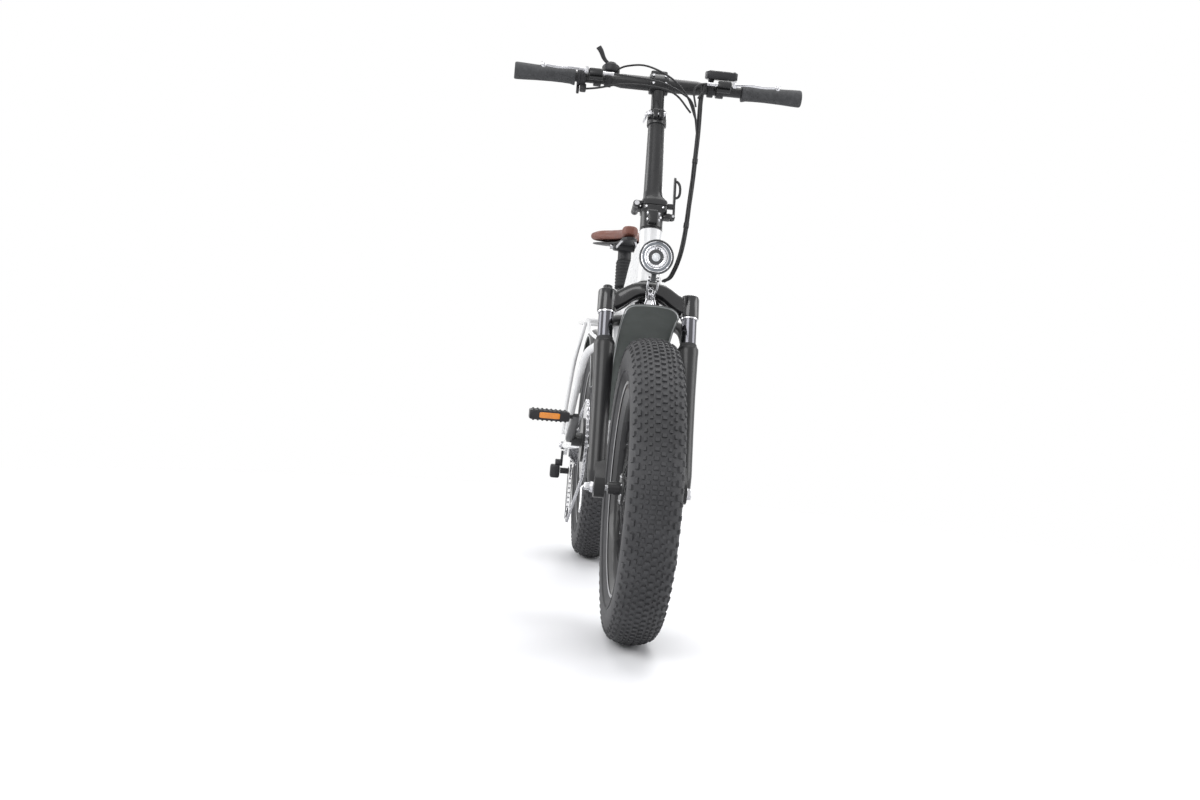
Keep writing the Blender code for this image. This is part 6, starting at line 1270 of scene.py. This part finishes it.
# Crankset: forged black arms on their spindle with a round spider, a toothed steel ring, and moulded
# platform pedals with gripping teeth and amber reflectors. It turns in the frame's bracket shell.
CRANK_WAY, CRANK_LENGTH, ARM_X = np.array((0, -0.93667, 0.35021)), 0.170, 0.103
arms = []
for side in (-1, 1):
    onward = -side * CRANK_WAY
    middle_line = BRACKET + np.linspace(-0.012, 0.182, 12)[:, None] * onward + (side * ARM_X, 0, 0)
    taper = np.concatenate(([0.72], np.linspace(1.0, 0.84, 10), [0.66]))
    arms.append(swept(middle_line, oval(0.0065, 0.0110, 28, 0.5), taper, up=(1, 0, 0)))
    pedal_eye = BRACKET + CRANK_LENGTH * onward
    arms.append(rods([pedal_eye + (side * ARM_X, 0, 0)], [pedal_eye + (side * 0.199, 0, 0)], 0.0050, 20))
spider = turned([(-0.0768, 0.0085), (-0.0768, 0.0515), (-0.0763, 0.0520), (-0.0723, 0.0520),
                 (-0.0718, 0.0515), (-0.0718, 0.0085)], BRACKET, (1, 0, 0), 60, closed=True)
boss = turned([(-0.099, 0), (-0.099, 0.0155), (-0.098, 0.0160), (-0.0725, 0.0160), (-0.0725, 0)], BRACKET,
              (1, 0, 0), 40)
spindle = rods([BRACKET - (ARM_X, 0, 0)], [BRACKET + (ARM_X, 0, 0)], 0.0085, 28)
finished("crank_arms", [*arms, spider, boss, spindle], satin_black, "crank", "crankset")


def toothed(rows, centre, turn):
    """A ring about the X axis through centre, at the given turns: rows are the (x, radius) of its closed
    section, and a radius may be one number or a value at every turn."""
    rings = [centre + np.stack([np.full(len(turn), x), r * np.cos(turn), r * np.sin(turn)], 1)
             for x, r in rows]
    return np.vstack(rings), weave(len(rows), len(turn), True, True)


TEETH, PULLEY_TEETH = 44, 11
tooth_turn = np.arange(TEETH * 6) / (TEETH * 6) * math.tau
tooth_rim = 0.0915 + 0.0022 * np.clip(1.6 * np.cos(TEETH * tooth_turn), -1, 1) * 0.68
ring_rows = ((-0.0715, 0.044), (-0.0715, tooth_rim), (-0.0685, tooth_rim), (-0.0685, 0.044))
finished("chainring_steel", [toothed(ring_rows, BRACKET, tooth_turn)], bright_steel,
         "crank", "chainring")
amber = coated("reflector_amber", (0.75, 0.24, 0.015), 0.12, coat=0.8, grain=500.0, relief=0.0002)
for side, word in ((-1, "right"), (1, "left")):
    middle = BRACKET - side * CRANK_LENGTH * CRANK_WAY + (side * 0.163, 0, 0)
    frame_bars = [pillow((0.090, 0.010, 0.022), middle + (0, y, 0), edge=0.2) for y in (-0.034, 0, 0.034)]
    frame_bars += [pillow((0.012, 0.078, 0.020), middle + (x, 0, 0), edge=0.2) for x in (-0.039, 0, 0.039)]
    frame_bars += [pillow((0.0048, 0.0060, 0.0040), middle + (x, y, z), edge=0.5)
                   for x in np.linspace(-0.036, 0.036, 8)
                   for y in (-0.0345, 0.0345) for z in (-0.0108, 0.0108)]
    finished(f"pedal_cage_{word}", frame_bars, matt_plastic, f"pedal_{word}",
             f"pedal_{word}")
    strips = [pillow((0.046, 0.0020, 0.0130), middle + (0, y, 0), edge=0.25) for y in (-0.0385, 0.0385)]
    finished(f"pedal_reflectors_{word}", strips, amber, f"pedal_{word}")

# Drive train: a seven-step cassette, a chain of plates and rollers over the ring and one sprocket,
# and a black derailleur on the dropout whose long cage holds two toothed pulleys.
CHAIN_X, LINK_PITCH = -0.0695, 0.0127
steps = [(-0.079, 0.0063), (-0.079, 0.029)]
for number in range(7):
    left, radius = -0.0786 + number * 0.00325, 0.0300 + 0.0035 * number
    steps += [(left, radius - 0.002), (left + 0.0003, min(radius, 0.052)),
              (left + 0.0017, min(radius, 0.052)), (left + 0.0020, radius - 0.003)]
steps += [(-0.056, 0.048), (-0.056, 0.0063)]
finished("cassette_sprockets", [turned(steps, REAR_AXLE, (1, 0, 0), 84, closed=True)], bright_steel,
         "cassette", "cassette")
upper, lower = np.array((0.565, 0.222)), np.array((0.545, 0.108))
wraps = [(*BRACKET[1:], 0.0940, 1), (0.555, 0.290, 0.0370, 1), (*upper, 0.0165, -1), (*lower, 0.0185, 1)]
pieces = []
for (ya, za, ra, wa), (yb, zb, rb, wb) in zip(wraps, wraps[1:] + wraps[:1]):
    span = math.hypot(yb - ya, zb - za)
    base, lift = math.atan2(zb - za, yb - ya), math.asin((ra * wa - rb * wb) / span)
    normal = base + math.pi / 2 - lift
    pieces.append(((ya + wa * ra * math.cos(normal), za + wa * ra * math.sin(normal)),
                   (yb + wb * rb * math.cos(normal), zb + wb * rb * math.sin(normal))))
line = []
for (start, end), (yb, zb, rb, wb), (leave, _) in zip(
        pieces, wraps[1:] + wraps[:1], pieces[1:] + pieces[:1]):
    line += [np.array(start) + (np.array(end) - start) * share for share in np.linspace(0, 1, 40)]
    into, out = math.atan2(end[1] - zb, end[0] - yb), math.atan2(leave[1] - zb, leave[0] - yb)
    sweep = ((out - into) * -wb) % math.tau
    line += [(yb + rb * math.cos(into - wb * sweep * share), zb + rb * math.sin(into - wb * sweep * share))
             for share in np.linspace(0, 1, 30)[1:-1]]
line = np.array(line + line[:1])
gone = np.concatenate(([0], np.cumsum(np.linalg.norm(np.diff(line, axis=0), axis=1))))
link_count = 2 * int(gone[-1] / (2 * LINK_PITCH))
spots = np.stack([np.interp(np.arange(link_count) * gone[-1] / link_count, gone, line[:, k])
                  for k in (0, 1)], 1)
ahead = np.roll(spots, -1, axis=0)
links = []
for number, (here, there) in enumerate(zip(spots, ahead)):
    spread = 0.0026 if number % 2 else 0.0016
    onward = (there - here) / np.linalg.norm(there - here)
    up = np.array((-onward[1], onward[0]))
    outline = [here - 0.0028 * onward + 0.0012 * up, here + 0.0034 * up, (here + there) / 2 + 0.0022 * up,
               there + 0.0034 * up, there + 0.0028 * onward + 0.0012 * up,
               there + 0.0028 * onward - 0.0012 * up, there - 0.0034 * up, (here + there) / 2 - 0.0022 * up,
               here - 0.0034 * up, here - 0.0028 * onward - 0.0012 * up]
    links += [slab(outline, CHAIN_X + s * spread - 0.0005, CHAIN_X + s * spread + 0.0005) for s in (-1, 1)]
rollers = rods(np.column_stack((np.full(link_count, -0.0727), spots)),
               np.column_stack((np.full(link_count, -0.0663), spots)), 0.0018, 8)
finished("chain_links", [*links, rollers], bright_steel, "rear_frame", "chain")
changer = [pillow((0.006, 0.014, 0.042), (-0.0953, 0.567, 0.2545), edge=0.3),
           pillow((0.026, 0.030, 0.036), (-0.1112, 0.5685, 0.2195), edge=0.35),
           turned([(-0.112, 0), (-0.112, 0.0084), (-0.111, 0.009), (-0.097, 0.009), (-0.096, 0.0084),
                   (-0.096, 0)], (0, 0.565, 0.243), (1, 0, 0), 32),
           rods([(-0.110, 0.582, 0.212)], [(-0.110, 0.600, 0.212)], 0.0040, 20)]
finished("derailleur_body", changer, matt_plastic, "rear_frame", "derailleur", bevel=0.0003)
down = (lower - upper) / np.linalg.norm(lower - upper)
flank = np.array((-down[1], down[0]))
cage_line = smooth([upper - 0.010 * down, upper + 0.009 * flank, lower + 0.0085 * flank,
                    lower + 0.010 * down, lower - 0.0085 * flank, upper - 0.009 * flank,
                    upper - 0.010 * down], 60)[:-1]
cage = [slab(cage_line, CHAIN_X + low, CHAIN_X + low + 0.0015) for low in (-0.0065, 0.0050)]
cage += [turned([(-0.0974, 0), (-0.0974, 0.0076), (-0.0970, 0.0080), (-0.0735, 0.0080), (-0.0735, 0)],
                (0, *upper), (1, 0, 0), 32)]
finished("derailleur_cage_plates", cage, satin_black, "derailleur_cage", "derailleur_cage")
pulley_turn = np.arange(PULLEY_TEETH * 8) / (PULLEY_TEETH * 8) * math.tau
pulleys = []
for place, radius in ((upper, 0.0145), (lower, 0.0165)):
    rim = radius + 0.0013 * np.cos(PULLEY_TEETH * pulley_turn)
    rows = ((-0.0710, 0.0030), (-0.0705, rim), (-0.0685, rim), (-0.0680, 0.0030))
    pulleys.append(toothed(rows, np.array((0, *place)), pulley_turn))
finished("jockey_pulleys", pulleys, matt_plastic, "derailleur_cage")

# Kickstand: a black leg with a rubber foot, hung from a hub on the left stay.
stand = np.array((0.115, 0.375, 0.300))
reach = np.array((0.085, 0.0, -0.273))
leg_line = smooth([stand + (0.002, 0, -0.004), stand + 0.06 * reach + (0.006, 0, 0),
                   stand + 0.5 * reach + (0.003, 0, 0), stand + 0.97 * reach], 30)
hub = turned([(-0.0057, 0), (-0.0057, 0.0119), (-0.0051, 0.0125), (0.0074, 0.0125), (0.0080, 0.0119),
              (0.0080, 0)], stand, (1, 0, 0), 36)
finished("kickstand_leg", [hub, tube(leg_line, 0.0080, 24)], satin_black, "kickstand",
         "kickstand")
finished("kickstand_foot", [pillow((0.022, 0.034, 0.016), stand + reach, edge=0.35)], seal_rubber,
         "kickstand")
